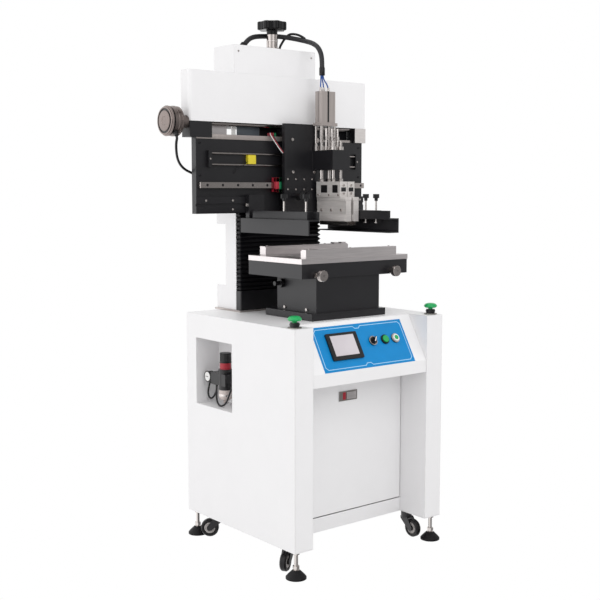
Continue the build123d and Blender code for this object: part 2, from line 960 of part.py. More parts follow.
with BuildPart() as tie:
    slab(
        (-guide_rod_x - 30, guide_rod_x + 30),
        (guide_rod_y - 16, guide_rod_y + 22),
        (guide_rod_top, tie_top),
    )
keep_group([lift_foot.part, *guide_rods, lift_cylinder.part, tie.part], "lift_unit")

# Plain box at the bottom of the bellows
bellows_low = foot_plate_top + bellows_base_height
with BuildPart() as bellows_base:
    slab(
        (-bellows_half_width, bellows_half_width),
        (bellows_front, bellows_front + bellows_depth),
        (foot_plate_top, bellows_low),
    )
    fillet(bellows_base.edges().filter_by(Axis.Z).group_by(Axis.Y)[0], 5)
keep(bellows_base.part, "bellows_base")

# Folded bellows between the box and the print head
bellows_high = beam_bottom
fold_pitch = (bellows_high - bellows_low) / bellows_folds
with BuildPart() as bellows:
    with BuildSketch(
        Plane(origin=(-bellows_half_width, 0, 0), x_dir=(0, 1, 0), z_dir=(1, 0, 0))
    ):
        with BuildLine():
            zigzag = [(bellows_front + bellows_depth, bellows_low)]
            for fold in range(bellows_folds):
                low = bellows_low + fold * fold_pitch
                zigzag.append((bellows_front + fold_depth, low))
                zigzag.append((bellows_front, low + fold_pitch / 2))
            zigzag.append((bellows_front + fold_depth, bellows_high))
            zigzag.append((bellows_front + bellows_depth, bellows_high))
            Polyline(*zigzag, close=True)
        make_face()
    extrude(amount=2 * bellows_half_width)
keep(bellows.part, "bellows")

# Beam of the print head with the bar that the stencil arms slide on
arm_bar_y = (beam_front - arm_bar_thickness, beam_front)
with BuildPart() as beam:
    slab(beam_x, (beam_front, beam_back), (beam_bottom, beam_top))
arm_bar_mid = sum(arm_bar_z) / 2
arm_bars = []
for side in (-1, 1):
    ends = sorted((side * arm_bar_x[0], side * arm_bar_x[1]))
    with BuildPart() as arm_bar:
        slab(ends, arm_bar_y, arm_bar_z)
        slab(
            ends,
            (arm_bar_y[0], arm_bar_y[0] + arm_bar_groove_depth),
            (arm_bar_mid - arm_bar_groove / 2, arm_bar_mid + arm_bar_groove / 2),
            mode=Mode.SUBTRACT,
        )
    arm_bars.append(arm_bar.part)
keep_group([beam.part, *arm_bars], "head_beam")

# Frame behind the beam with its bearings, the bridge and the screw supports
bridge_thickness = 10.0
bridge_low = cover_bottom - bridge_thickness
upright_half = 60.0
support_half = 17.0
frame_front = beam_back
with BuildPart() as head_frame:
    slab((-frame_half, frame_half), (frame_front, frame_back), (frame_bottom, tower_top))
    slab((-upright_half, upright_half), (guide_rod_y - 12, frame_back), (tower_top, bridge_low))
    slab(
        (-tower_cover_half, tower_cover_half),
        (cover_back + seat_gap, tower_cover_back),
        (bridge_low, cover_bottom),
    )
    for side in (-1, 1):
        rod(
            (side * guide_rod_x, guide_rod_y, frame_bottom),
            (0, 0, 1),
            guide_rod_radius + running,
            tower_top - frame_bottom,
            mode=Mode.SUBTRACT,
        )
        rod(
            (side * guide_rod_x, guide_rod_y, bridge_low),
            (0, 0, 1),
            guide_rod_radius + 2,
            bridge_thickness,
            mode=Mode.SUBTRACT,
        )
    rod(
        (0, guide_rod_y, frame_bottom),
        (0, 0, -1),
        lift_rod_radius,
        frame_bottom - lift_rod_low,
    )
supports = []
support_x = ((cover_x[0] + 2, -284.0), (309.0, cover_x[1] - 2))
for x0, x1 in support_x:
    with BuildPart() as support:
        slab((x0, x1), (cover_front, cover_back), (beam_top, cover_bottom))
        slab(
            (x0 + 6, x1 - 6),
            (screw_y - support_half, screw_y + support_half),
            (cover_bottom, screw_z + support_half),
        )
        rod(
            (x0, screw_y, screw_z),
            (1, 0, 0),
            screw_radius + running,
            x1 - x0,
            mode=Mode.SUBTRACT,
        )
        if x0 < 0:
            slab((x1, x1 + 83), (cover_back - 5, cover_back), (beam_top, cover_bottom))
    supports.append(support.part)
keep_group([head_frame.part, *supports], "head_frame")

# Linear rails on the beam, the two sensor rods and the travel sensor
upper_rail_y = (beam_front + 6, beam_front + 18)
upper_rail_height = 8.0
rail_x = (beam_x[0] + 7, beam_x[1] - 2)
rail_low = rail_z - rail_width / 2
rail_high = rail_z + rail_width / 2
sensor_y = beam_front - 7
sensor_rod_radius = 3.0
sensor_x = sensor_rod_x[0] + 168
sensor_width = 30.0
rails = []
with BuildPart() as lower_rail:
    slab(rail_x, (beam_front - rail_stand, beam_front), (rail_low, rail_high))
rails.append(lower_rail.part)
with BuildPart() as upper_rail:
    slab(
        (support_x[0][1] + 4, support_x[1][0] - 4),
        upper_rail_y,
        (beam_top, beam_top + upper_rail_height),
    )
rails.append(upper_rail.part)
for x0 in (sensor_rod_x[0] - 12, sensor_rod_x[1]):
    with BuildPart() as rod_end:
        slab(
            (x0, x0 + 12),
            (beam_front - 12, beam_front),
            (sensor_rod_z[0] - 8, sensor_rod_z[1] + 8),
        )
    rails.append(rod_end.part)
for z in sensor_rod_z:
    with BuildPart() as sensor_rod:
        rod(
            (sensor_rod_x[0], sensor_y, z),
            (1, 0, 0),
            sensor_rod_radius,
            sensor_rod_x[1] - sensor_rod_x[0],
        )
    rails.append(sensor_rod.part)
with BuildPart() as travel_sensor:
    slab(
        (sensor_x - sensor_width, sensor_x),
        (beam_front - 13, beam_front),
        (sensor_rod_z[0] + sensor_rod_radius + 0.5, sensor_rod_z[1] - sensor_rod_radius - 0.5),
    )
rails.append(travel_sensor.part)
keep_group(rails, "linear_rails")

# Drive motor with its grooved casing and long boss, on the end of the screw
motor_boss = 19.0
motor_length = motor_x[1] - motor_x[0]
motor_groove = (7.0, 11.0)
motor_groove_depth = 4.0
motor_casing = motor_radius - 1
support_left = support_x[0][0]
with BuildPart() as drive_motor:
    turned(
        Plane(origin=(motor_x[0], screw_y, screw_z), x_dir=(0, 1, 0), z_dir=(1, 0, 0)),
        [
            (0, 0),
            (motor_radius - 8, 0),
            (motor_radius - 2, 2),
            (motor_radius, 5),
            (motor_radius, motor_groove[0] - 1),
            (motor_radius - motor_groove_depth, motor_groove[0]),
            (motor_radius - motor_groove_depth, motor_groove[1]),
            (motor_casing, motor_groove[1] + 1),
            (motor_casing, motor_length - 6),
            (motor_radius, motor_length - 5),
            (motor_radius, motor_length),
            (motor_boss, motor_length),
            (motor_boss, support_left - motor_x[0]),
            (0, support_left - motor_x[0]),
        ],
    )
keep(drive_motor.part, "drive_motor")

# Drive screw between the supports
screw_x = (support_left + seat_gap, support_x[1][1] - 8)
with BuildPart() as drive_screw:
    rod((screw_x[0], screw_y, screw_z), (1, 0, 0), screw_radius, screw_x[1] - screw_x[0])
keep(drive_screw.part, "drive_screw")

# Wide sheet cover in front, open below
with BuildPart() as head_cover:
    with BuildSketch(Plane.XY.offset(cover_bottom)):
        with Locations((sum(cover_x) / 2, (cover_front + cover_back) / 2)):
            Rectangle(cover_x[1] - cover_x[0], cover_back - cover_front)
    extrude(amount=cover_top - cover_bottom)
    fillet(head_cover.edges().filter_by(Axis.Z).group_by(Axis.Y)[0], cover_corner)
    offset(amount=-sheet, openings=head_cover.faces().sort_by(Axis.Z)[0])
    rod(
        (cover_x[0] - 1, screw_y, screw_z),
        (1, 0, 0),
        motor_boss + 1,
        sheet + 2,
        mode=Mode.SUBTRACT,
    )
keep(head_cover.part, "head_cover")

# Tall sheet cover over the guide rods, open below, with the cable grommet
bundle_exit = (-92.0, 257.0)
bundle_radius = 8.0
bundle_tilt = radians(40)
shaft_bore = screw_radius + slack
with BuildPart() as tall_cover:
    slab(
        (-tower_cover_half, tower_cover_half),
        (cover_back, tower_cover_back),
        (cover_bottom, tower_cover_top),
    )
    offset(amount=-sheet, openings=tall_cover.faces().sort_by(Axis.Z)[0])
    rod(
        (knob_x, knob_y, tower_cover_top - sheet),
        (0, 0, 1),
        shaft_bore,
        sheet,
        mode=Mode.SUBTRACT,
    )
grommet_length = 16.0
grommet_radius = bundle_radius + 4
bundle_lean = (sin(bundle_tilt), 0, cos(bundle_tilt))
with BuildPart() as grommet:
    rod(
        (bundle_exit[0] - 20 * bundle_lean[0], bundle_exit[1], tower_cover_top - 20 * bundle_lean[2]),
        bundle_lean,
        grommet_radius,
        20 + grommet_length,
    )
    slab(
        (bundle_exit[0] - 60, bundle_exit[0] + 60),
        (bundle_exit[1] - 30, bundle_exit[1] + 30),
        (tower_cover_top - 60, tower_cover_top),
        mode=Mode.SUBTRACT,
    )
keep_group([tall_cover.part, grommet.part], "tower_cover")

# Collar and knob of the stroke adjusting screw
collar_top = tower_cover_top + collar_height
with BuildPart() as knob_collar:
    rod((knob_x, knob_y, tower_cover_top), (0, 0, 1), collar_radius, collar_height)
    rod(
        (knob_x, knob_y, tower_cover_top),
        (0, 0, 1),
        screw_radius + running,
        collar_height,
        mode=Mode.SUBTRACT,
    )
keep(knob_collar.part, "knob_collar")

knob_neck = (18.0, 15.0)
knob_low = collar_top + knob_neck[1]
lobes = 7
lobe_radius = 13.0
knob_rounding = 4.0
with BuildPart() as stroke_knob:
    shaft_low = tie_top + lift_down + stop_gap
    rod((knob_x, knob_y, shaft_low), (0, 0, 1), screw_radius, collar_top - shaft_low)
    rod((knob_x, knob_y, collar_top + seat_gap), (0, 0, 1), knob_neck[0], knob_low - collar_top)
    rod((knob_x, knob_y, collar_top), (0, 0, 1), screw_radius, 2)
    with BuildSketch(Plane.XY.offset(knob_low)):
        with Locations((knob_x, knob_y)):
            Circle(knob_radius - 6)
        with Locations((knob_x, knob_y)):
            with PolarLocations(knob_radius - lobe_radius, lobes):
                Circle(lobe_radius)
    extrude(amount=knob_height)
    rims = stroke_knob.edges().filter_by(GeomType.CIRCLE)
    fillet(rims.filter_by_position(Axis.Z, knob_low, knob_low), knob_rounding)
    rims = stroke_knob.edges().filter_by(GeomType.CIRCLE).group_by(Axis.Z)
    fillet(rims[-1], knob_rounding)
keep(stroke_knob.part, "stroke_knob")

# Carriage plate, the cylinder bracket and the nut housing
carriage_back = carriage_front + carriage_thickness
guide_x = [squeegee_x + side * squeegee_pitch / 2 for side in (-1, 1)]
nut_x = (0.0, 70.0)
upper_block_top = beam_top + 17
nut_plate = 9.0
with BuildPart() as carriage_body:
    slab(carriage_x, (carriage_front, carriage_back), carriage_z)
    slab(
        (carriage_x[1] - 10, bracket_x[1]),
        (carriage_front, carriage_back),
        bracket_z,
    )
    slab(
        (nut_x[0] - 8, nut_x[1] + 8),
        (carriage_back, screw_y + support_half),
        (upper_block_top, upper_block_top + nut_plate),
    )
    slab(
        nut_x,
        (screw_y - support_half, screw_y + support_half),
        (upper_block_top, screw_z + support_half),
    )
    rod(
        (nut_x[0], screw_y, screw_z),
        (1, 0, 0),
        screw_radius + running,
        nut_x[1] - nut_x[0],
        mode=Mode.SUBTRACT,
    )
with BuildPart() as cylinder_bracket:
    slab(bracket_x, (bracket_front, carriage_front), bracket_z)
    for x in guide_x:
        for y, radius in ((cylinder_y, piston_radius), (squeegee_guide_y, squeegee_guide_radius)):
            rod(
                (x, y, bracket_z[0]),
                (0, 0, 1),
                radius + running,
                bracket_z[1] - bracket_z[0],
                mode=Mode.SUBTRACT,
            )
adjusters = []
for x in adjuster_x:
    with BuildPart() as adjuster:
        rod((x, carriage_front, adjuster_z), (0, -1, 0), 5, carriage_front - adjuster_front)
        rod((x, adjuster_front + 22, adjuster_z), (0, -1, 0), adjuster_radius, 22)
    adjusters.append(adjuster.part)
keep_group([carriage_body.part, cylinder_bracket.part, *adjusters], "carriage_plate")

# Rail blocks of the carriage: two on the lower rail and one on the upper
block_depth = 26.0
block_height = 44.0
block_length = 60.0
blocks = []
for x0 in (carriage_x[0] + 4, carriage_x[1] - 3 - block_length):
    with BuildPart() as block:
        slab(
            (x0, x0 + block_length),
            (carriage_back, carriage_back + block_depth),
            (rail_z - block_height / 2, rail_z + block_height / 2),
        )
        slab(
            (x0, x0 + block_length),
            (beam_front - rail_stand - slack, carriage_back + block_depth),
            (rail_low - slack, rail_high + slack),
            mode=Mode.SUBTRACT,
        )
    blocks.append(block.part)
with BuildPart() as upper_block:
    slab(
        (nut_x[0] + 5, nut_x[1] - 5),
        (upper_rail_y[0] - 6, upper_rail_y[1] + 6),
        (beam_top + 3, upper_block_top),
    )
    slab(
        (nut_x[0] + 5, nut_x[1] - 5),
        (upper_rail_y[0] - slack, upper_rail_y[1] + slack),
        (beam_top + 3, beam_top + upper_rail_height + slack),
        mode=Mode.SUBTRACT,
    )
blocks.append(upper_block.part)
keep_group(blocks, "carriage_bearings")

# Twin squeegee cylinders on their posts
post_radius = 4.0
flange_height = 10.0
cylinder_front = cylinder_y - cylinder_width / 2
cylinder_back = cylinder_y + cylinder_width / 2
cylinders = []
for x in guide_x:
    with BuildPart() as cylinder:
        slab(
            (x - cylinder_width / 2, x + cylinder_width / 2),
            (cylinder_front, cylinder_back),
            cylinder_z,
        )
        fillet(cylinder.edges().filter_by(Axis.Z), 3)
        rod(
            (x, cylinder_y, cylinder_z[0]),
            (0, 0, 1),
            piston_radius + running,
            cylinder_z[1] - cylinder_z[0] - 12,
            mode=Mode.SUBTRACT,
        )
    cylinders.append(cylinder.part)
flange_low = cylinder_z[0] - flange_height
with BuildPart() as flange:
    slab(
        (bracket_x[0], bracket_x[1]),
        (cylinder_front - 4, cylinder_back + 4),
        (flange_low, cylinder_z[0]),
    )
    for x in guide_x:
        rod(
            (x, cylinder_y, flange_low),
            (0, 0, 1),
            piston_radius + 1,
            flange_height,
            mode=Mode.SUBTRACT,
        )
cylinders.append(flange.part)
for x in (bracket_x[0] + 8, bracket_x[1] - 8):
    for y in (cylinder_front + 2, cylinder_back - 2):
        with BuildPart() as post:
            rod((x, y, bracket_z[1]), (0, 0, 1), post_radius, flange_low - bracket_z[1])
        cylinders.append(post.part)
keep_group(cylinders, "squeegee_cylinders")

# Squeegees: piston rod, guide rod, mount, holder and blade
piston_top = cylinder_z[0] + 60
guide_top = bracket_z[1] + 30
for side, name in ((-1, "left_squeegee"), (1, "right_squeegee")):
    rod_x = squeegee_x + side * squeegee_pitch / 2
    with BuildPart() as squeegee:
        mount_x = (rod_x - mount_width / 2, rod_x + mount_width / 2)
        slab(mount_x, mount_y, mount_z)
        for window in mount_window_y:
            slab(mount_x, window, mount_window_z, mode=Mode.SUBTRACT)
        rod(
            (rod_x, cylinder_y, mount_z[1]),
            (0, 0, 1),
            piston_radius,
            piston_top - mount_z[1],
        )
        rod(
            (rod_x, squeegee_guide_y, mount_z[1]),
            (0, 0, 1),
            squeegee_guide_radius,
            guide_top - mount_z[1],
        )
    with BuildPart() as holder:
        slab((rod_x - holder_width / 2, rod_x + holder_width / 2), holder_y, holder_z)
    with BuildPart() as blade:
        slab(
            (rod_x - blade_thickness / 2, rod_x + blade_thickness / 2),
            (holder_y[0] + 2, holder_y[1] - 2),
            (blade_edge, holder_z[0]),
        )
    keep_group([squeegee.part, holder.part, blade.part], name)

# Stencil arms: a channel under a threaded bar and a plate, and the block on the beam's bar
arm_back = beam_front
block_y = (carriage_back + 1, arm_bar_y[0] - seat_gap)
rib_half = arm_bar_groove / 2 - slack
for side, edge, name in ((-1, left_arm_x, "left_arm"), (1, right_arm_x, "right_arm")):
    inner = edge - side * arm_width
    web = edge - side * arm_wall
    full = (min(edge, inner), max(edge, inner))
    outer = edge - side * arm_bar_setback
    upper = (min(outer, inner), max(outer, inner))
    plate = sorted((inner, inner + side * arm_plate_thickness))
    bar_z = (arm_z[1], arm_z[1] + arm_bar_rise)
    places = clamp_y[name.split("_")[0]]
    clamp_x = inner + side * clamp_inset
    with BuildPart() as channel:
        slab(full, (arm_front, arm_back), arm_z)
        slab(
            (min(web, inner), max(web, inner)),
            (arm_front, arm_back),
            (arm_z[0] + arm_wall, arm_z[1] - arm_wall),
            mode=Mode.SUBTRACT,
        )
        slab(upper, (min(places) - arm_bar_margin, arm_bar_back), bar_z)
        slab(plate, (arm_front, arm_bar_back), bar_z)
        for y in places:
            rod(
                (clamp_x, y, arm_z[1] - arm_wall),
                (0, 0, 1),
                clamp_radius + running,
                arm_wall + arm_bar_rise,
                mode=Mode.SUBTRACT,
            )
    block_edge = edge - side * arm_block_inset
    other = block_edge - side * arm_block_width
    block_x = (min(block_edge, other), max(block_edge, other))
    with BuildPart() as arm_block:
        slab(block_x, block_y, (arm_z[1], arm_block_top))
        slab(
            block_x,
            (block_y[1], block_y[1] + arm_bar_groove_depth - 0.2),
            (arm_bar_mid - rib_half, arm_bar_mid + rib_half),
        )
    keep_group([channel.part, arm_block.part], name)

# Clamp screws of the arms
clamp_low = arm_z[0] + frame_slot
for side, edge, arm in ((-1, left_arm_x, "left"), (1, right_arm_x, "right")):
    x = edge - side * arm_width + side * clamp_inset
    for y, place in zip(clamp_y[arm], ("rear", "front")):
        with BuildPart() as clamp:
            turned(
                Plane(origin=(x, y, 0)),
                [
                    (0, clamp_low),
                    (6, clamp_low),
                    (6, clamp_low + 4),
                    (clamp_radius, clamp_low + 4),
                    (clamp_radius, clamp_top - 22),
                    (5, clamp_top - 22),
                    (6, clamp_top - 12),
                    (0, clamp_top - 12),
                ],
            )
            with BuildSketch(Plane(origin=(x, y, clamp_top - 13))):
                SlotOverall(2 * clamp_grip, 9)
            extrude(amount=13)
        keep(clamp.part, f"{arm}_{place}_clamp")

# Air regulator in the niche: bracket, body, collar, bowl and gauge
regulator_x = -half_width + regulator_inset
regulator_low = window_low_z + regulator_rise
regulator_high = regulator_low + regulator_height
regulator_mid = (regulator_low + regulator_high) / 2
knob_ring_top = regulator_high + knob_ring_height
regulator_body_y = (regulator_y - 28, regulator_y + 54)
body_half_height = 19.0
air_stem_radius = 5.0
bracket_half = (20.0, 13.0)
regulator = []
with BuildPart() as regulator_body:
    slab(
        (regulator_x - regulator_half_width, regulator_x + regulator_half_width),
        regulator_body_y,
        (regulator_mid - body_half_height, regulator_mid + body_half_height),
    )
    rod((regulator_x, regulator_y, regulator_low), (0, 0, 1), bowl_radius, regulator_height)
regulator.append(regulator_body.part)
with BuildPart() as wall_bracket:
    slab(
        (regulator_x + regulator_half_width, niche_x[1]),
        (regulator_y - bracket_half[0], regulator_y + bracket_half[0]),
        (regulator_mid - bracket_half[1], regulator_mid + bracket_half[1]),
    )
regulator.append(wall_bracket.part)
with BuildPart() as knob_ring:
    rod((regulator_x, regulator_y, regulator_high), (0, 0, 1), regulator_radius, knob_ring_height)
    rod(
        (regulator_x, regulator_y, regulator_high),
        (0, 0, 1),
        air_stem_radius + slack,
        knob_ring_height,
        mode=Mode.SUBTRACT,
    )
regulator.append(knob_ring.part)
with BuildPart() as bowl:
    turned(
        Plane(origin=(regulator_x, regulator_y, 0)),
        [
            (0, regulator_low - bowl_depth),
            (6, regulator_low - bowl_depth),
            (8, regulator_low - bowl_depth + 8),
            (bowl_radius - 3, regulator_low - bowl_depth + 14),
            (bowl_radius, regulator_low - bowl_depth / 2),
            (bowl_radius, regulator_low),
            (0, regulator_low),
        ],
    )
regulator.append(bowl.part)
gauge_pipe = 2.0
gauge_y = regulator_body_y[1] + gauge_radius + gauge_pipe
gauge_x = regulator_x - 20
gauge_z = regulator_mid + 1
with BuildPart() as gauge:
    rod((gauge_x, gauge_y, gauge_z), (1, 0, 0), gauge_radius, gauge_depth)
    rod(
        (gauge_x + gauge_depth / 2, regulator_body_y[1], gauge_z),
        (0, 1, 0),
        gauge_pipe_radius,
        gauge_radius,
    )
regulator.append(gauge.part)
keep_group(regulator, "air_regulator")

with BuildPart() as regulator_knob:
    rod(
        (regulator_x, regulator_y, knob_ring_top + seat_gap),
        (0, 0, 1),
        regulator_radius - 1,
        air_knob_height,
    )
    rod(
        (regulator_x, regulator_y, knob_ring_top - air_knob_stem),
        (0, 0, 1),
        air_stem_radius,
        air_knob_stem + air_knob_height / 2,
    )
keep(regulator_knob.part, "regulator_knob")

# Air tubes looped inside the niche, and the cables on the head


def route_radii(points):
    """The largest arc at each inner point that its two runs leave room for."""
    radii = []
    for before, here, after in zip(points, points[1:], points[2:]):
        to_here = Vector(*here) - Vector(*before)
        to_next = Vector(*after) - Vector(*here)
        turn = radians(to_here.get_angle(to_next))
        radii.append(0.45 * min(to_here.length, to_next.length) / tan(turn / 2))
    return radii


def tube_along(points, radius, name):
    """A round tube along straight runs joined by arcs, as one solid."""
    radii = route_radii(points)
    print(name, "radii", [round(value, 1) for value in radii])
    with BuildPart() as tube:
        with BuildLine() as path:
            FilletPolyline(*points, radius=radii)
        start = Vector(*points[0])
        with BuildSketch(Plane(origin=start, z_dir=Vector(*points[1]) - start)):
            Circle(radius)
        sweep(path=path.wires()[0])
    length = path.wires()[0].length
    share = tube.part.volume / (pi * radius * radius * length)
    print(name, "length", round(length, 1), "volume share", round(share, 4))
    return tube.part


tube_x = regulator_x - 4
tube_low = regulator_mid - body_half_height
tube_routes = [
    [
        (tube_x, 170, tube_low),
        (tube_x, 170, 496),
        (tube_x - 3, 178, 474),
        (tube_x - 5, 198, 458),
        (tube_x - 4, 216, 470),
        (tube_x, 219, 494),
        (tube_x + 5, 214, 517),
    ],
    [
        (tube_x - 8, 160, tube_low),
        (tube_x - 8, 160, 494),
        (tube_x - 12, 156, 468),
        (tube_x - 16, 140, 451),
        (tube_x - 17, 118, 449),
        (tube_x - 14, 98, 462),
        (tube_x - 10, 90, 484),
        (tube_x - 4, 86, 506),
        (tube_x + 6, 80, 524),
    ],
]
tubes = [tube_along(route, air_tube_radius, f"air tube {i}") for i, route in enumerate(tube_routes)]
keep_group(tubes, "air_tubes")

cable_lean = radians(50)
cable_exit_x = (motor_x[0] + motor_groove[1] + motor_x[1] - 5) / 2
exit_distance = motor_casing + slack
run_distance = exit_distance + 18
motor_cable_route = [
    (
        cable_exit_x,
        screw_y - exit_distance * cos(cable_lean),
        screw_z - exit_distance * sin(cable_lean),
    ),
    (
        cable_exit_x,
        screw_y - run_distance * cos(cable_lean),
        screw_z - run_distance * sin(cable_lean),
    ),
    (-424, 136, 1272),
    (-415, 150, 1248),
    (-400, 168, 1226),
    (-380, 184, 1208),
    (-358, 193, 1194),
    (-334, 192, 1184),
    (-312, beam_back + 6, 1174),
    (-292, beam_back + 5, 1158),
]
motor_cable = tube_along(motor_cable_route, 4.0, "motor cable")
keep(motor_cable, "motor_cable")

bundle_start = grommet_length + 0.2
first_run = bundle_start + 21
bundle_route = [
    (
        bundle_exit[0] + bundle_start * bundle_lean[0],
        bundle_exit[1],
        tower_cover_top + bundle_start * bundle_lean[2],
    ),
    (
        bundle_exit[0] + first_run * bundle_lean[0],
        bundle_exit[1],
        tower_cover_top + first_run * bundle_lean[2],
    ),
    (-45, 258, 1632),
    (-14, 261, 1637),
    (19, 262, 1640),
    (51, 257, 1642),
    (80, 242, 1640),
    (102, 215, 1633),
    (115, 182, 1624),
    (119, 148, 1614),
    (117, 117, 1597),
    (113, 96, 1570),
    (109, cylinder_y - 3, 1537),
    (107, cylinder_y - 5, 1504),
]
bundle = tube_along(bundle_route, bundle_radius, "cable bundle")
air_lines = []
line_y = bundle_route[-1][1]
line_z = bundle_route[-1][2] - 0.5
for line_x, top_x in ((101.0, 102.5), (114.0, 107.5), (134.0, 112.0)):
    line = tube_along(
        [
            (top_x, line_y, line_z),
            (top_x, line_y, line_z - 12),
            (line_x, line_y, cylinder_z[1] + 18),
            (line_x, line_y, cylinder_z[1]),
        ],
        2.2,
        "air line",
    )
    air_lines.append(line)
keep_group([bundle, *air_lines], "cable_bundle")
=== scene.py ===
"""Looks of a solder paste stencil printer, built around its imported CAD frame.

Places are written in millimetres from the floor under the middle of the cabinet, as on the
machine's drawing, and the function at() turns them into metres in the frame's own axes.
"""

import json
import math

import bpy
from mathutils import Matrix, Vector


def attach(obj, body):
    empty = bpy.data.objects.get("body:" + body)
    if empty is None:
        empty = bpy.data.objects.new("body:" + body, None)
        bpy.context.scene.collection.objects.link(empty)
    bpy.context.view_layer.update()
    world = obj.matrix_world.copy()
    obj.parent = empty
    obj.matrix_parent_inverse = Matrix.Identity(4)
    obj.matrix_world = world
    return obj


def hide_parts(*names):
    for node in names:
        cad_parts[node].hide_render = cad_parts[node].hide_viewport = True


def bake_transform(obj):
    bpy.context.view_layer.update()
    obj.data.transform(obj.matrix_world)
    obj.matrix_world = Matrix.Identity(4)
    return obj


bl_info = {
    "name": "Stencil printer looks", "version": (1, 0, 0), "blender": (4, 5, 0),
    "location": "View3D > Sidebar > Printer",
    "description": "Finishes and details for a solder paste stencil printer", "category": "Object",
}

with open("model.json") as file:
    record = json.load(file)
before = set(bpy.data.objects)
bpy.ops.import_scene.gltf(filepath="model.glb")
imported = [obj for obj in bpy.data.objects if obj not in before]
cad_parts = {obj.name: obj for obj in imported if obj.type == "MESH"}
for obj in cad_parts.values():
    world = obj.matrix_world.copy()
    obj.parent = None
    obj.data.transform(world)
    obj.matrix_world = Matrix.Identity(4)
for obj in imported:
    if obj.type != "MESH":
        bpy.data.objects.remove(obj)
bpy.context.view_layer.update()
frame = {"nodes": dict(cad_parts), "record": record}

# The middle of the cabinet, seen from the frame's origin
CABINET_X = 40.0
CABINET_Y = -8.0
UP = Vector((0, 0, 1))
LEFT = Vector((-1, 0, 0))
RIGHT = Vector((1, 0, 0))
FRONT = Vector((0, -1, 0))
FRAME = "printer_frame"
HEAD = "print_head"

# The console slopes from its lower front edge to the cabinet's top
SLOPE = math.atan2(82, 140)
OUT_OF_CONSOLE = Vector((0, -math.cos(SLOPE), math.sin(SLOPE)))
UP_CONSOLE = Vector((0, math.sin(SLOPE), math.cos(SLOPE)))

# Caster pivots and the headings that the forks stand at
CASTERS = {
    "front_left": (-246, -185, math.radians(212)),
    "front_right": (246, -185, math.radians(270)),
    "rear_left": (-246, 185, math.radians(140)),
    "rear_right": (246, 185, math.radians(62)),
}


def at(x, y, z):
    """A point of the drawing in millimetres, in the frame's metres."""
    return Vector(((x + CABINET_X) / 1000, (y + CABINET_Y) / 1000, z / 1000))


def on_console(x, up, out=0.8):
    """A point on the console's overlay, measured from the middle of the slope."""
    return at(x, -239, 667) + UP_CONSOLE * up / 1000 + OUT_OF_CONSOLE * out / 1000


def linear(code):
    """An sRGB hex colour as linear red, green and blue."""
    values = [int(code[i : i + 2], 16) / 255 for i in (1, 3, 5)]
    return tuple(v / 12.92 if v <= 0.04045 else ((v + 0.055) / 1.055) ** 2.4 for v in values)


# Sizes and colours that a user may change


def colour_choice(name, description, code):
    """A colour in the panel, by its sRGB hex code."""
    return bpy.props.FloatVectorProperty(
        name=name, description=description, subtype="COLOR", default=linear(code)
    )


def length_choice(name, description, metres):
    """A length in the panel."""
    return bpy.props.FloatProperty(
        name=name, description=description, unit="LENGTH", default=metres
    )


class PrinterColours(bpy.types.PropertyGroup):
    coat: colour_choice("Powder coat", "White of the sheet metal", "#ecebec")
    overlay: colour_choice("Overlay", "Blue of the console's printed film", "#0588cc")
    overlay_line: colour_choice("Overlay line", "Pale line inside the overlay's edge", "#a9d6f2")
    anodised: colour_choice("Black anodising", "Machined black pieces", "#19181c")
    push_green: colour_choice("Push button green", "Start and palm buttons", "#12a85a")


class PrinterSizes(bpy.types.PropertyGroup):
    edge: length_choice("Edge radius", "Rounding of machined and folded edges", 0.0008)
    screw_head: length_choice("Screw head radius", "Cap screws of the carriage", 0.005)
    line_width: length_choice("Overlay line width", "Line printed on the overlay", 0.0022)
    light: bpy.props.FloatProperty(
        name="Light level",
        description="Strength of the soft light around the machine",
        min=0.0,
        default=0.93,
    )


# Materials


def add_node(tree, kind, inputs=None, **settings):
    """Adds a shader node with its settings, values and links."""
    node = tree.nodes.new("ShaderNode" + kind)
    for key, value in settings.items():
        setattr(node, key, value)
    for key, value in (inputs or {}).items():
        if isinstance(value, bpy.types.NodeSocket):
            tree.links.new(value, node.inputs[key])
        else:
            node.inputs[key].default_value = value
    return node


def rgba(colour):
    """A colour with full opacity."""
    return (*colour[:3], 1.0)


def shade(colour, factor):
    """A darker colour of the same hue."""
    return tuple(v * factor for v in colour[:3])


def as_linear(colour):
    """A colour given as a hex code or already linear, as linear values."""
    return linear(colour) if isinstance(colour, str) else tuple(colour)


def new_material(name, colour, roughness, metallic=0.0, **inputs):
    """A material whose shader has its plain values, and the node tree to refine it."""
    material = bpy.data.materials.new(name)
    material.use_nodes = True
    tree = material.node_tree
    shader = tree.nodes["Principled BSDF"]
    shader.inputs["Base Color"].default_value = rgba(colour)
    shader.inputs["Roughness"].default_value = roughness
    shader.inputs["Metallic"].default_value = metallic
    for key, value in inputs.items():
        shader.inputs[key.replace("_", " ")].default_value = value
    material.diffuse_color = rgba(colour)
    return material, tree, shader


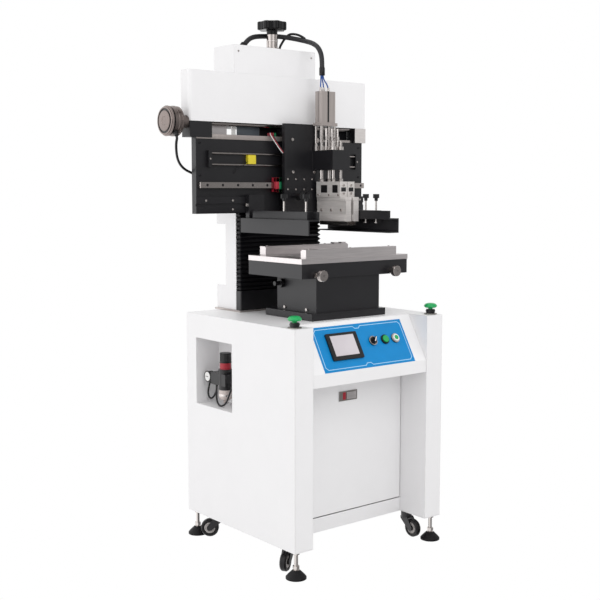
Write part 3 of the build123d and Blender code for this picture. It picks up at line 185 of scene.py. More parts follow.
def mottle(tree, shader, colour, darker, scale, spread, stretch=(1, 1, 1), roughness=None):
    """Varies the colour, and the roughness if a pair is given, by noise on Object coordinates."""
    place = add_node(tree, "TexCoord").outputs["Object"]
    mapped = add_node(tree, "Mapping", {"Vector": place, "Scale": stretch})
    noise = add_node(
        tree,
        "TexNoise",
        {"Vector": mapped.outputs[0], "Scale": scale, "Detail": 4.0, "Roughness": 0.6},
    )
    level = add_node(
        tree,
        "MapRange",
        {"Value": noise.outputs[0], "From Min": 0.5 - spread, "From Max": 0.5 + spread},
    )
    mix = add_node(
        tree, "Mix", {0: level.outputs[0], 6: rgba(darker), 7: rgba(colour)}, data_type="RGBA"
    )
    tree.links.new(mix.outputs[2], shader.inputs["Base Color"])
    if roughness:
        rough = add_node(
            tree,
            "MapRange",
            {"Value": noise.outputs[0], "To Min": roughness[0], "To Max": roughness[1]},
        )
        tree.links.new(rough.outputs[0], shader.inputs["Roughness"])
    return noise


def soft_edges(tree, shader, share, height=None, strength=0.1, distance=0.0005):
    """Rounds the edges in the shading by a share of the usual radius, over an optional bump."""
    radius = share * bpy.context.scene.printer_sizes.edge
    bevel = add_node(tree, "Bevel", {"Radius": radius}, samples=4)
    normal = bevel.outputs[0]
    if height is not None:
        bump = add_node(
            tree,
            "Bump",
            {"Strength": strength, "Distance": distance, "Height": height, "Normal": normal},
        )
        normal = bump.outputs[0]
    tree.links.new(normal, shader.inputs["Normal"])


def powder_coat():
    """Polyester powder on sheet steel: an even white with a faint orange peel, half gloss."""
    colour = tuple(bpy.context.scene.printer_colours.coat)
    material, tree, shader = new_material("white_powder_coat", colour, 0.42, Coat_Weight=0.08)
    # The real peel is 1 mm wide, too fine to show, so the waves here are 9 mm
    mottle(tree, shader, colour, shade(colour, 0.965), 9, 0.35, roughness=(0.36, 0.48))
    place = add_node(tree, "TexCoord").outputs["Object"]
    peel = add_node(tree, "TexNoise", {"Vector": place, "Scale": 110.0, "Detail": 1.0})
    soft_edges(tree, shader, 2.0, peel.outputs[0], 0.05, 0.0004)
    return material


def anodised(name, colour, stretch=(1, 1, 1), roughness=(0.3, 0.46), specular=0.5):
    """Black anodised aluminium: milled, so a dark brown grey with faint cutter marks."""
    colour = as_linear(colour)
    material, tree, shader = new_material(name, colour, 0.42, Specular_IOR_Level=specular)
    mottle(tree, shader, colour, shade(colour, 0.72), 14, 0.3, stretch, roughness)
    place = add_node(tree, "TexCoord").outputs["Object"]
    # Cutter marks are 0.3 mm apart, drawn here at 4 mm so that they show
    marks = add_node(
        tree,
        "TexWave",
        {"Vector": place, "Scale": 40.0, "Distortion": 2.0, "Detail": 2.0},
        bands_direction="Z",
    )
    soft_edges(tree, shader, 1.5, marks.outputs[0], 0.04, 0.0003)
    return material


def milled_aluminium(name, code, roughness=(0.26, 0.42), stretch=(3, 60, 60), metallic=1.0):
    """Bare aluminium, milled and left as it is: pale, with lines along the cut."""
    colour = linear(code)
    material, tree, shader = new_material(name, colour, 0.34, metallic)
    # The lines are 0.2 mm apart, drawn here some 5 mm wide
    noise = mottle(tree, shader, colour, shade(colour, 0.8), 4, 0.3, stretch, roughness)
    soft_edges(tree, shader, 1.0, noise.outputs[0], 0.08, 0.0003)
    return material


def ground_steel(name, code, roughness=(0.14, 0.26)):
    """Ground and hardened steel, as on rods, rails and screws: bright, nearly mirror."""
    colour = linear(code)
    material, tree, shader = new_material(name, colour, 0.2, 1.0)
    mottle(tree, shader, colour, shade(colour, 0.86), 60, 0.3, (1, 1, 1), roughness)
    return material


def moulded(name, colour, roughness, grain=180.0, specular=0.5, bump=0.12):
    """An injection moulded plastic or rubber with a fine spark eroded grain."""
    colour = as_linear(colour)
    material, tree, shader = new_material(name, colour, roughness, Specular_IOR_Level=specular)
    noise = mottle(tree, shader, colour, shade(colour, 0.85), grain, 0.3)
    soft_edges(tree, shader, 0.6, noise.outputs[0], bump, 0.0003)
    return material


def display_glass():
    """Touch glass over an unlit display: a pale lilac grey with a soft reflection."""
    colour = linear("#cfc8cd")
    material, tree, shader = new_material("touch_glass", colour, 0.22, Coat_Weight=0.3)
    mottle(tree, shader, colour, shade(colour, 0.93), 12, 0.4, roughness=(0.18, 0.28))
    return material


def braided_sleeve():
    """Braided polyester sleeve: crossed 1.5 mm bundles of black yarn."""
    material, tree, shader = new_material("braided_sleeve", linear("#1b1a1d"), 0.5)
    mottle(tree, shader, linear("#242327"), linear("#0f0e10"), 220, 0.3)
    place = add_node(tree, "TexCoord").outputs["Object"]
    braid = add_node(tree, "TexWave", {"Vector": place, "Scale": 180.0}, bands_direction="DIAGONAL")
    bump = add_node(
        tree, "Bump", {"Strength": 0.35, "Distance": 0.0006, "Height": braid.outputs[0]}
    )
    tree.links.new(bump.outputs[0], shader.inputs["Normal"])
    return material


def make_materials():
    """Every finish of the machine, by a short name."""
    colours = bpy.context.scene.printer_colours
    return {
        "coat": powder_coat(),
        "anodised": anodised("black_anodised_aluminium", colours.anodised),
        "black_paint": anodised("black_paint_on_steel", "#161519"),
        "aluminium": milled_aluminium("milled_aluminium", "#e2dcdc"),
        "rail": ground_steel("ground_rail_steel", "#b3aca9"),
        "steel": ground_steel("bright_zinc_steel", "#cfc9c6", (0.16, 0.3)),
        "black_abs": moulded("black_abs", "#131215", 0.34, specular=0.45),
        "knob": moulded("black_phenolic", "#0c0c0e", 0.16, specular=0.2),
        "rubber": moulded("black_rubber", "#161517", 0.55, 90.0, 0.2, 0.25),
        "tyre": moulded("polyurethane_tyre", "#121113", 0.38, 70.0, 0.3),
        "motor": milled_aluminium("motor_casting", "#8b807c", (0.3, 0.42), (60, 3, 3)),
        "green": moulded("green_button_plastic", colours.push_green, 0.28, 60.0),
        "red": moulded("red_plastic", "#a5182b", 0.35, 60.0),
        "seal_red": moulded("red_end_seal", "#b3273a", 0.4, 60.0),
        "seal_green": moulded("green_end_seal", "#17734a", 0.4, 60.0),
        "white_abs": moulded("white_plastic", "#f2f1ef", 0.35, 60.0),
        "yellow": moulded("yellow_sensor_plastic", "#e0cd2c", 0.4, 60.0),
        "overlay": moulded("polyester_overlay", colours.overlay, 0.36, 12.0, 0.2, 0.02),
        "glass": display_glass(),
        "bowl": moulded("smoked_polycarbonate", "#c9bdb8", 0.12, 30.0, 0.6, 0.02),
        "grey": milled_aluminium("grey_zinc_casting", "#a8a4a0", (0.4, 0.55), (1, 1, 1)),
        "plate_grey": anodised("grey_painted_plate", "#5c646b"),
        "hub_grey": moulded("grey_nylon_hub", "#b9b4b1", 0.4, 60.0),
        "squeegee": milled_aluminium(
            "warm_milled_aluminium", "#d9d4d1", (0.3, 0.45), (8, 8, 60), 0.2
        ),
        "cylinder": milled_aluminium(
            "drawn_aluminium_tube", "#b3aaa6", (0.3, 0.4), (60, 60, 2), 0.5
        ),
        "hose": moulded("black_pvc", "#111013", 0.32, 40.0, 0.35, 0.05),
        "sleeve": braided_sleeve(),
        "air_line": moulded("blue_polyurethane", "#1c4f9c", 0.25, 40.0, 0.5, 0.05),
        "bellows": moulded("coated_bellows_fabric", "#0d0c10", 0.5, 160.0, 0.2, 0.2),
        "line": moulded("overlay_print", colours.overlay_line, 0.4, 12.0, 0.3, 0.02),
    }


finishes = {}


# Modelling helpers


def deselect_all():
    """Ends edit mode and clears the selection."""
    if bpy.context.object and bpy.context.object.mode != "OBJECT":
        bpy.ops.object.mode_set(mode="OBJECT")
    bpy.ops.object.select_all(action="DESELECT")


def pick(piece):
    """Makes a piece the active one and the only one selected."""
    deselect_all()
    piece.select_set(True)
    bpy.context.view_layer.objects.active = piece


def start_editing(name):
    """Names the piece just added and selects all of its mesh for editing."""
    piece = bpy.context.object
    piece.name = name
    bpy.ops.object.mode_set(mode="EDIT")
    bpy.ops.mesh.select_all(action="SELECT")
    return piece


def extrude(rise):
    """Extrudes the selected faces upward, in millimetres."""
    bpy.ops.mesh.extrude_region_move(TRANSFORM_OT_translate={"value": (0, 0, rise / 1000)})


def end_editing():
    """Turns all faces outward and leaves edit mode."""
    bpy.ops.mesh.select_all(action="SELECT")
    bpy.ops.mesh.normals_make_consistent(inside=False)
    bpy.ops.object.mode_set(mode="OBJECT")


def apply_place(piece, matrix=None):
    """Moves a piece by a matrix and puts its place into its mesh."""
    pick(piece)
    if matrix is not None:
        piece.matrix_world = matrix @ piece.matrix_world
    bpy.ops.object.transform_apply(location=True, rotation=True, scale=True)
    return piece


def facing(origin, direction):
    """A matrix that puts a piece made along Z at a point and along a direction."""
    turned = UP.rotation_difference(Vector(direction).normalized()).to_matrix().to_4x4()
    return Matrix.Translation(origin) @ turned


def round_spots(count, radius):
    """Places spread evenly round a circle, as pairs of millimetres."""
    angles = [spot * math.tau / count for spot in range(count)]
    return [(radius * math.cos(angle), radius * math.sin(angle)) for angle in angles]


def grid(*values):
    """Every place whose coordinates are among these, each one number or several."""
    xs, ys, zs = (value if isinstance(value, tuple) else (value,) for value in values)
    return [(x, y, z) for x in xs for y in ys for z in zs]


def turned_piece(name, steps, origin, direction, sides=40):
    """A turned piece: a disc whose face is extruded and resized at each (radius, height)."""
    deselect_all()
    radius, height = steps[0]
    bpy.ops.mesh.primitive_circle_add(
        vertices=sides, radius=radius / 1000, fill_type="NGON", location=(0, 0, 0)
    )
    piece = start_editing(name)
    bpy.ops.transform.translate(value=(0, 0, height / 1000))
    for next_radius, next_height in steps[1:]:
        extrude(next_height - height)
        factor = next_radius / radius
        if next_radius != radius:
            bpy.ops.transform.resize(value=(factor, factor, 1), center_override=(0, 0, 0))
        radius, height = next_radius, next_height
    end_editing()
    return apply_place(piece, facing(origin, direction))


def block(name, low, high, bevel=0.8, segments=2):
    """A machined block between two corners of the drawing, with its edges broken."""
    deselect_all()
    low, high = at(*low), at(*high)
    bpy.ops.mesh.primitive_cube_add(size=1, location=(low + high) / 2)
    piece = bpy.context.object
    piece.name = name
    piece.scale = high - low
    apply_place(piece)
    if bevel:
        start_editing(name)
        bpy.ops.mesh.bevel(offset=bevel / 1000, segments=segments, affect="EDGES")
        bpy.ops.object.mode_set(mode="OBJECT")
    return piece


def copy_to(piece, matrix):
    """A copy with its own mesh, moved by a matrix."""
    copied = piece.copy()
    copied.data = piece.data.copy()
    bpy.context.scene.collection.objects.link(copied)
    return apply_place(copied, matrix)


def join(pieces, name):
    """One object from several like pieces."""
    deselect_all()
    for piece in pieces:
        piece.select_set(True)
    bpy.context.view_layer.objects.active = pieces[0]
    if len(pieces) > 1:
        bpy.ops.object.join()
    joined = bpy.context.object
    joined.name = name
    return joined


def dress(piece, finish, body, smooth=30):
    """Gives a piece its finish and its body."""
    pick(piece)
    if smooth:
        bpy.ops.object.shade_smooth_by_angle(angle=math.radians(smooth))
    piece.data.materials.clear()
    piece.data.materials.append(finishes[finish])
    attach(piece, body)


def turned(name, steps, origin, direction, finish, body, slot=None, sides=40):
    """A turned piece with its finish and body; the slot argument is not used."""
    dress(turned_piece(name, steps, origin, direction, sides), finish, body)


def machined(name, low, high, bevel, finish, body, segments=2, smooth=30):
    """A machined block with its finish and body."""
    dress(block(name, low, high, bevel, segments), finish, body, smooth)


def turned_group(name, parts, finish, body, smooth=30):
    """Turned pieces joined into one; a part is its steps, place, direction and sides."""
    pieces = [turned_piece(name, *part) for part in parts]
    dress(join(pieces, name), finish, body, smooth)


def block_group(name, corners, bevel, finish, body, segments=2, smooth=30):
    """Blocks joined into one, each given by its two corners."""
    pieces = [block(name, low, high, bevel, segments) for low, high in corners]
    dress(join(pieces, name), finish, body, smooth)


def cap_screws(name, places, direction, radius, body, finish="steel"):
    """Socket head cap screws seated on a face."""
    height = radius * 0.7
    steps = [
        (radius, -0.2),
        (radius, height - 0.5),
        (radius - 0.5, height),
        (radius * 0.55, height),
        (radius * 0.5, height - 1.6),
    ]
    first = turned_piece(name, steps, at(*places[0]), direction, 18)
    copies = [
        copy_to(first, Matrix.Translation(at(*place) - at(*places[0]))) for place in places[1:]
    ]
    dress(join([first, *copies], name), finish, body)


def paint_by_place(node_name, finish_names, choose):
    """Gives each face of a CAD node one of several finishes by where its middle lies."""
    mesh = frame["nodes"][node_name].data
    mesh.materials.clear()
    for finish in finish_names:
        mesh.materials.append(finishes[finish])
    for face in mesh.polygons:
        x, y, z = face.center * 1000
        face.material_index = int(choose(x - CABINET_X, y - CABINET_Y, z))


def flat_line(name, points, line_width, thickness, place):
    """A flat line along an outline: a path extruded point by point, filled, inset and thickened."""
    deselect_all()
    bpy.ops.mesh.primitive_plane_add(size=0.001, location=(0, 0, 0))
    piece = start_editing(name)
    bpy.ops.mesh.merge(type="CENTER")
    bpy.ops.transform.translate(value=(points[0][0] / 1000, points[0][1] / 1000, 0))
    for before, here in zip(points, points[1:]):
        step = ((here[0] - before[0]) / 1000, (here[1] - before[1]) / 1000, 0)
        bpy.ops.mesh.extrude_vertices_move(TRANSFORM_OT_translate={"value": step})
    bpy.ops.mesh.select_all(action="SELECT")
    bpy.ops.mesh.edge_face_add()
    bpy.ops.mesh.inset(thickness=line_width)
    bpy.ops.mesh.delete(type="FACE")
    bpy.ops.mesh.select_all(action="SELECT")
    extrude(thickness)
    end_editing()
    return apply_place(piece, place)


def console_place(x, up, out):
    """Puts a flat piece on the console's slope, its first axis across and its second one up."""
    axes = Matrix((RIGHT, UP_CONSOLE, OUT_OF_CONSOLE)).transposed().to_4x4()
    return Matrix.Translation(on_console(x, up, out)) @ axes


def cord_curve(name, route, radius, finish, body):
    """A round flexible line on one smooth NURBS spline through the air along its route."""
    data = bpy.data.curves.new(name, "CURVE")
    data.dimensions = "3D"
    spline = data.splines.new("NURBS")
    spline.points.add(len(route) - 1)
    for point, place in zip(spline.points, route):
        point.co = (*at(*place), 1.0)
    spline.order_u = 3
    spline.use_endpoint_u = True
    spline.resolution_u = 10
    data.bevel_depth = radius / 1000
    data.bevel_resolution = 4
    data.use_fill_caps = True
    piece = bpy.data.objects.new(name, data)
    bpy.context.scene.collection.objects.link(piece)
    data.materials.append(finishes[finish])
    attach(piece, body)
    return piece


# Operators, one for each group of pieces


class PRINTER_OT_finishes(bpy.types.Operator):
    """Gives every piece of the frame its real finish"""

    bl_idname = "printer.finishes"
    bl_label = "Frame finishes"

    def execute(self, context):
        finishes.update(make_materials())
        by_slot = {
            "white_paint": "coat", "overlay_film": "overlay", "screen_plastic": "black_abs",
            "black_plastic": "black_abs", "green_plastic": "green", "lamp_plastic": "white_abs",
            "zinc_steel": "steel", "black_anodised": "anodised", "bare_aluminium": "aluminium",
            "rail_steel": "rail", "black_paint": "black_paint", "bellows_fabric": "rubber",
            "motor_paint": "motor", "knob_plastic": "knob", "cable_sleeve": "rubber",
            "tyre_rubber": "tyre",
        }
        slot_of = {p["node"]: p["material_slot"] for p in frame["record"]["subparts"]}
        for name, node in frame["nodes"].items():
            node.data.materials.clear()
            node.data.materials.append(finishes[by_slot[slot_of[name]]])
        return {"FINISHED"}


class PRINTER_OT_console(bpy.types.Operator):
    """Prints the overlay's line and adds the screen's glass and the button caps' details"""

    bl_idname = "printer.console"
    bl_label = "Console details"

    def execute(self, context):
        sizes = context.scene.printer_sizes
        half_width, half_height, corner, notch = 177.0, 65.5, 9.0, 7.0
        middle = -5.0
        # The line runs round the corners and dips round the middle of the long sides
        upper = [
            (-half_width, half_height - corner), (-half_width + corner, half_height),
            (middle - 2 * notch, half_height), (middle - notch, half_height - notch),
            (middle + notch, half_height - notch), (middle + 2 * notch, half_height),
            (half_width - corner, half_height), (half_width, half_height - corner),
        ]
        outline = upper + [(x, -y) for x, y in reversed(upper)]
        place = console_place(0, -7, 0.8)
        line = flat_line("overlay_line", outline, sizes.line_width, 0.15, place)
        dress(line, "line", FRAME, smooth=0)

        glass = block("screen_glass", (-46.2, -32.7, 0), (46.2, 32.7, 0.9), 0.2)
        apply_place(glass, console_place(-79.5, -1.0, 5.6) @ Matrix.Translation(-at(0, 0, 0)))
        dress(glass, "glass", FRAME)

        top = 17.7
        mark = block("selector_mark", (-8.5, -1.6, 0), (8.5, 1.6, 0.5), 0.15)
        turn = Matrix.Rotation(math.radians(55), 4, "Z")
        apply_place(mark, console_place(40, 3, top) @ turn @ Matrix.Translation(-at(0, 0, 0)))
        dress(mark, "white_abs", "selector")

        out, body = OUT_OF_CONSOLE, FRAME
        steps = [(7.6, -0.1), (7.6, 0.3), (5.4, 0.3), (5.2, 0.1)]
        place = on_console(134, 3, 9.9)
        turned("power_lamp_ring", steps, place, out, "green", "power", "lamp_plastic", 36)
        steps = [(15.2, 4.6), (14.6, 5.3), (13.2, 5.3), (12.2, 4.4)]
        for name, x, finish in (
            ("selector_bezel", 40, "steel"),
            ("start_bezel", 90, "black_abs"),
            ("power_bezel", 134, "steel"),
        ):
            turned(name, steps, on_console(x, 3, 0.8), out, finish, body, "black_plastic")

        plate = [(19.8, 0.05), (20.6, 0.8), (20.6, 2.2), (19.8, 3.0), (14.3, 3.0), (14.3, 2.6)]
        ring = [(14.6, 8.0), (15.4, 9.0), (15.4, 12.0), (14.6, 13.0)]
        for name, x in (("left", -277), ("right", 277)):
            place = at(x, -252, 737)
            turned(f"{name}_palm_plate", plate, place, UP, "grey", body, "black_plastic", 48)
            turned(f"{name}_palm_ring", ring, place, UP, "black_abs", body)
        return {"FINISHED"}


class PRINTER_OT_door(bpy.types.Operator):
    """Adds the latch's face and its red window on the front door"""

    bl_idname = "printer.door"
    bl_label = "Door latch"

    def execute(self, context):
        low, high = (-37.4, -171.6, 479.6), (37.4, -170.6, 510.4)
        machined("latch_face", low, high, 0.4, "grey", "door")
        low, high = (-22.0, -172.3, 483.5), (-10.0, -171.2, 506.5)
        machined("latch_window", low, high, 0.4, "red", "door")
        low, high = (-6.0, -174.6, 484.0), (31.0, -171.2, 506.0)
        machined("latch_lever", low, high, 1.4, "aluminium", "door", segments=3)
        return {"FINISHED"}


class PRINTER_OT_undercarriage(bpy.types.Operator):
    """Adds the hub rings of the caster wheels and the axle caps on the forks, and finishes the feet
    """

    bl_idname = "printer.undercarriage"
    bl_label = "Feet and casters"

    def execute(self, context):
        paint_by_place("levelling_feet", ("steel", "rubber"), lambda x, y, z: z < 25.9)
        rings = [(18.0, 6.9), (17.4, 8.6), (14.6, 9.2), (13.6, 7.4)]
        caps = [(5.4, 11.6), (5.4, 13.4), (4.6, 14.2)]
        for place, (x, y, heading) in CASTERS.items():
            across = Vector((-math.sin(heading), math.cos(heading), 0))
            hub = at(x + 30 * math.cos(heading), y + 30 * math.sin(heading), 32)
            parts = [(rings, hub, side * across, 44) for side in (-1, 1)]
            turned_group(f"{place}_hub_ring", parts, "hub_grey", f"{place}_wheel")
            name, body = f"{place}_axle_cap", f"{place}_swivel"
            for side in (-1, 1):
                turned(name, caps, hub, side * across, "steel", body, sides=20)
        return {"FINISHED"}


class PRINTER_OT_niche(bpy.types.Operator):
    """Dresses the air regulator: dial, ring, bowl guard, fittings and its tubes"""

    bl_idname = "printer.niche"
    bl_label = "Air regulator and tubes"

    def execute(self, context):
        def choose(x, y, z):
            if y > 190:
                return 0
            if 566.2 < z < 589:
                return 1
            if z < 499.9:
                return 2
            return 3 if x > -234.9 else 0

        paint_by_place("air_regulator", ("black_abs", "red", "bowl", "steel"), choose)
        gauge, body = at(-276, 200, 534), FRAME
        steps = [(17.6, -3.0), (18.2, -2.0), (18.2, 0.6), (17.4, 1.4), (15.2, 1.4), (14.8, 0.5)]
        turned("gauge_rim", steps, gauge, LEFT, "black_abs", body, sides=44)
        steps = [(14.9, 0.2), (14.9, 0.8)]
        turned("gauge_dial", steps, gauge, LEFT, "white_abs", body, "screen_plastic", 44)
        low, high = (-277.3, 195.0, 533.2), (-276.9, 210.0, 534.8)
        machined("gauge_needle", low, high, 0, "black_abs", body, smooth=0)
        axis_x, axis_y = -256, 127
        place = at(axis_x, axis_y, 0)
        steps = [(22.4, 480), (22.8, 481), (22.8, 486), (22.4, 487)]
        turned("bowl_band", steps, place, UP, "steel", body)
        steps = [(18.6, 586.4), (19.2, 587.2), (19.2, 589.0), (17.4, 589.6)]
        turned("knob_skirt", steps, place, UP, "black_abs", body)
        corners = []
        for across, deep in round_spots(16, 17.1):
            x, y = axis_x + across, axis_y + deep
            corners.append(((x - 0.9, y - 0.9, 592), (x + 0.9, y + 0.9, 617)))
        block_group("air_knob_ribs", corners, 0.3, "black_abs", "air_knob", segments=1)

        routes = (
            (
                (-260, 170, 514), (-260, 170, 496), (-263, 178, 474), (-265, 198, 458),
                (-264, 216, 470), (-260, 219, 494), (-255, 214, 517),
            ),
            (
                (-268, 160, 514), (-268, 160, 494), (-272, 156, 468), (-276, 140, 451),
                (-277, 118, 449), (-274, 98, 462), (-270, 90, 484), (-264, 86, 506),
                (-254, 80, 524),
            ),
        )
        names, lengths = ("short_air_tube", "long_air_tube"), (0.1327, 0.1815)
        for name, route, length in zip(names, routes, lengths):
            tube = cord_curve(name, route, 3.0, "hose", body)
            if name == "short_air_tube":
                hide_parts("air_tubes")
        return {"FINISHED"}


class PRINTER_OT_table(bpy.types.Operator):
    """Finishes the pedestal and the side knob, and adds the table's screws and the knobs' knurled
    rims
    """

    bl_idname = "printer.table"
    bl_label = "Printing table"

    def execute(self, context):
        paint_by_place("pedestal", ("anodised", "steel"), lambda x, y, z: x < -120.3 and z > 760)
        paint_by_place("side_table_knob", ("black_abs", "steel"), lambda x, y, z: x < -164)
        for name, x, reach, body in (
            ("left_knob_rim", -127, 40, "knob_left"), ("right_knob_rim", 183, 32, "knob_right")
        ):
            face, axis, half = -165 - reach, 876, 0.6
            corners = []
            for across, rise in round_spots(36, 16.4):
                low = (x + across - half, face + 1.6, axis + rise - half)
                high = (x + across + half, face + 14.6, axis + rise + half)
                corners.append((low, high))
            block_group(name, corners, 0, "steel", body, smooth=0)
            steps = [(3.2, -0.2), (3.2, 0.3), (2.6, 0.3), (2.2, -0.4)]
            place = at(x, face, axis)
            turned(f"{name}_screw", steps, place, FRONT, "black_abs", body, "zinc_steel", 20)
        cap_screws("front_rail_screws", grid((-140, 24, 188), -149.5, 953), UP, 3.0, "table_top")
        cap_screws("rear_rail_screws", grid((-120, 30, 120), 86, 953), UP, 3.0, "board_rail")
        return {"FINISHED"}


class PRINTER_OT_beam(bpy.types.Operator):
    """Dresses the beam: rail holes, sensor, rod clamps, arm bar screws and frame details"""

    bl_idname = "printer.beam"
    bl_label = "Beam and rails"

    def execute(self, context):
        def choose_rail(x, y, z):
            if -151 < x < -119 and 1213 < z < 1242:
                return 1
            if 1201 < z < 1254 and (x < -287.5 or x > 308.5):
                return 2
            return 0

        paint_by_place("linear_rails", ("rail", "yellow", "black_paint"), choose_rail)
        steps = [(4.4, -0.2), (4.4, 0.14), (3.4, 0.14), (3.2, 0.02)]
        parts = [(steps, at(-308 + 58 * hole, 142, 1146), FRONT, 20) for hole in range(12)]
        turned_group("rail_holes", parts, "black_abs", HEAD)
        places = grid((-311, -210, 231, 330), 147, 1098) + grid((-210, 231), 147, 1070)
        cap_screws("arm_bar_screws", places, FRONT, 3.6, HEAD)
        cap_screws("rod_clamp_screws", grid((-294, 315), 145, 1227.5), FRONT, 3.0, HEAD)
        places = grid((-325, 332), 157, (1276, 1176))
        cap_screws("beam_screws", places, FRONT, 3.4, HEAD, "black_abs")
        # Painted highlight: a pale strip along the top of the beam's front face
        low, high = (-338, 154.6, 1289), (150, 156.9, 1304)
        machined("beam_highlight_strip", low, high, 0.6, "cylinder", HEAD)

        def choose_frame(x, y, z):
            if -283.9 < x < -200 and z > 1292.5:
                return 1
            return 2 if x > 312 else 0

        paint_by_place("head_frame", ("anodised", "aluminium", "squeegee"), choose_frame)
        # What shows through the frame above the beam
        for name, x0, x1, y, finish, slot in (
            ("rear_cover_plate", 176, 307, 191, "black_paint", "black_paint"),
            ("cable_strip", -181, -166, 190, "white_abs", "white_paint"),
            ("rear_plate", -160, -72, 191, "plate_grey", "motor_paint"),
        ):
            low, high = (x0, y, 1293.5), (x1, 194.5, 1341.5)
            machined(name, low, high, 0.8, finish, HEAD)
        wire_route = (
            (-150, 149, 1222), (-160, 146, 1214), (-174, 148, 1206), (-188, 150, 1198),
            (-196, 152, 1190), (-199, 156, 1182),
        )
        cord_curve("sensor_wire", wire_route, 0.9, "hose", HEAD)
        return {"FINISHED"}


class PRINTER_OT_head(bpy.types.Operator):
    """Dresses the covers, the drive motor and the stroke knob, and lays the head's cables"""

    bl_idname = "printer.head"
    bl_label = "Covers, motor and cables"

    def execute(self, context):
        paint_by_place(
            "tower_cover",
            ("coat", "rubber"),
            lambda x, y, z: x < -70 and 240 < y < 275 and z > 1592.2,
        )
        cap_screws("tall_cover_screws", grid((-150, 150), 195, 1572), FRONT, 3.0, HEAD)
        axis_y, axis_z = 172, 1339
        for name, x, direction, finish, steps in (
            (
                "motor_rim", -440, LEFT, "motor",
                [(42.2, -2.6), (41.8, 1.6), (40.0, 2.2), (37.6, 2.2), (37.0, -1.0)],
            ),
            (
                "motor_back_ring", -398, LEFT, "motor",
                [
                    (18, 0), (44, 0), (45, 1), (45, 4.5), (43.4, 5.5), (43.4, 7.0), (45, 8.0),
                    (45, 11.9),
                ],
            ),
            # Painted shade: a flat black ring fills the recess between the end cap and the rim,
            # where the rim's inner wall lies in shadow
            (
                "motor_face_shade_ring", -440, LEFT, "black_abs",
                [(36.8, -1.0), (36.8, 0.5), (31.0, 0.5), (30.6, -0.5)],
            ),
            (
                "motor_end_cap", -440, LEFT, "motor",
                [(31.2, -1.0), (31.2, 2.4), (29.4, 4.0), (14.0, 4.8), (12.0, 3.2), (9.0, 3.2)],
            ),
            (
                "motor_groove_ring", -432.8, RIGHT, "black_abs",
                [(42.6, 0), (43.4, 0.4), (43.4, 3.2), (42.6, 3.6)],
            ),
        ):
            turned(name, steps, at(x, axis_y, axis_z), direction, finish, HEAD, sides=56)
        parts, steps = [], [(5.0, 0), (5.0, 4.6), (3.4, 4.6), (3.0, 3.0)]
        for angle in map(math.radians, (35, 145, 215, 325)):
            place = at(-410, axis_y + 47 * math.cos(angle), axis_z + 47 * math.sin(angle))
            parts.append((steps, place, LEFT, 24))
        turned_group("motor_lugs", parts, "motor", HEAD)
        lean = math.radians(50)
        out = Vector((0, -math.cos(lean), -math.sin(lean)))
        steps = [(8.5, -2.0), (8.5, 5), (7.0, 6.4), (7.0, 13), (5.6, 15), (4.3, 15.4)]
        place = at(-422, axis_y, axis_z) + out * 0.0445
        turned("motor_gland", steps, place, out, "black_abs", HEAD, sides=28)

        place = at(13, 232, 0)
        steps = [(21.5, 1592.2), (22.5, 1593), (22.5, 1597), (21.5, 1598), (18.6, 1598)]
        turned("knob_flange", steps, place, UP, "steel", HEAD, sides=48)
        steps = [(18.8, 1618), (19.3, 1618.6), (19.3, 1621.4), (18.8, 1622)]
        turned("knob_scale_ring", steps, place, UP, "steel", HEAD, sides=48)

        bundle_route = (
            (-81.59, 257, 1604.41), (-68.09, 257, 1620.5), (-45, 258, 1632), (-14, 261, 1637),
            (19, 262, 1640), (51, 257, 1642), (80, 242, 1640), (102, 215, 1633), (115, 182, 1624),
            (119, 148, 1614), (117, 117, 1597), (113, 96, 1570), (109, 88.5, 1537),
            (107, 86.5, 1504),
        )
        bundle = cord_curve("cable_sleeve", bundle_route, 8.0, "sleeve", HEAD)
        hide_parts("cable_bundle")
        steps = [(8.6, 1503), (9.4, 1504.4), (9.4, 1527), (8.4, 1529)]
        place = at(107.6, 87, 0)
        turned("sleeve_end", steps, place, UP, "hose", HEAD, "cable_sleeve", 32)
        for name, line_x, top_x, length in (
            ("left_air_line", 101, 102.5, 0.0515),
            ("middle_air_line", 114, 107.5, 0.0523),
            ("right_air_line", 134, 112, 0.0593),
        ):
            spots = ((top_x, 1503.5), (top_x, 1491.5), (line_x, 1470), (line_x, 1452))
            route = [(x, 86.5, z) for x, z in spots]
            line = cord_curve(name, route, 2.2, "air_line", HEAD)
        motor_route = (
            (-422, 142.88, 1304.3), (-422, 131.31, 1290.51), (-424, 136, 1272), (-415, 150, 1248),
            (-400, 168, 1226), (-380, 184, 1208), (-358, 193, 1194), (-334, 192, 1184),
            (-312, 187, 1174), (-292, 186, 1158),
        )
        cable = cord_curve("motor_lead", motor_route, 4.0, "hose", HEAD)
        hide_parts("motor_cable")
        stub_route = (
            (58, 250, 1592), (58, 250, 1604), (64, 249, 1615), (74, 246, 1632), (86, 236, 1650),
            (100, 218, 1650), (110, 196, 1641), (114, 184, 1632),
        )
        stub = cord_curve("second_cable", stub_route, 4.0, "hose", HEAD)
        return {"FINISHED"}


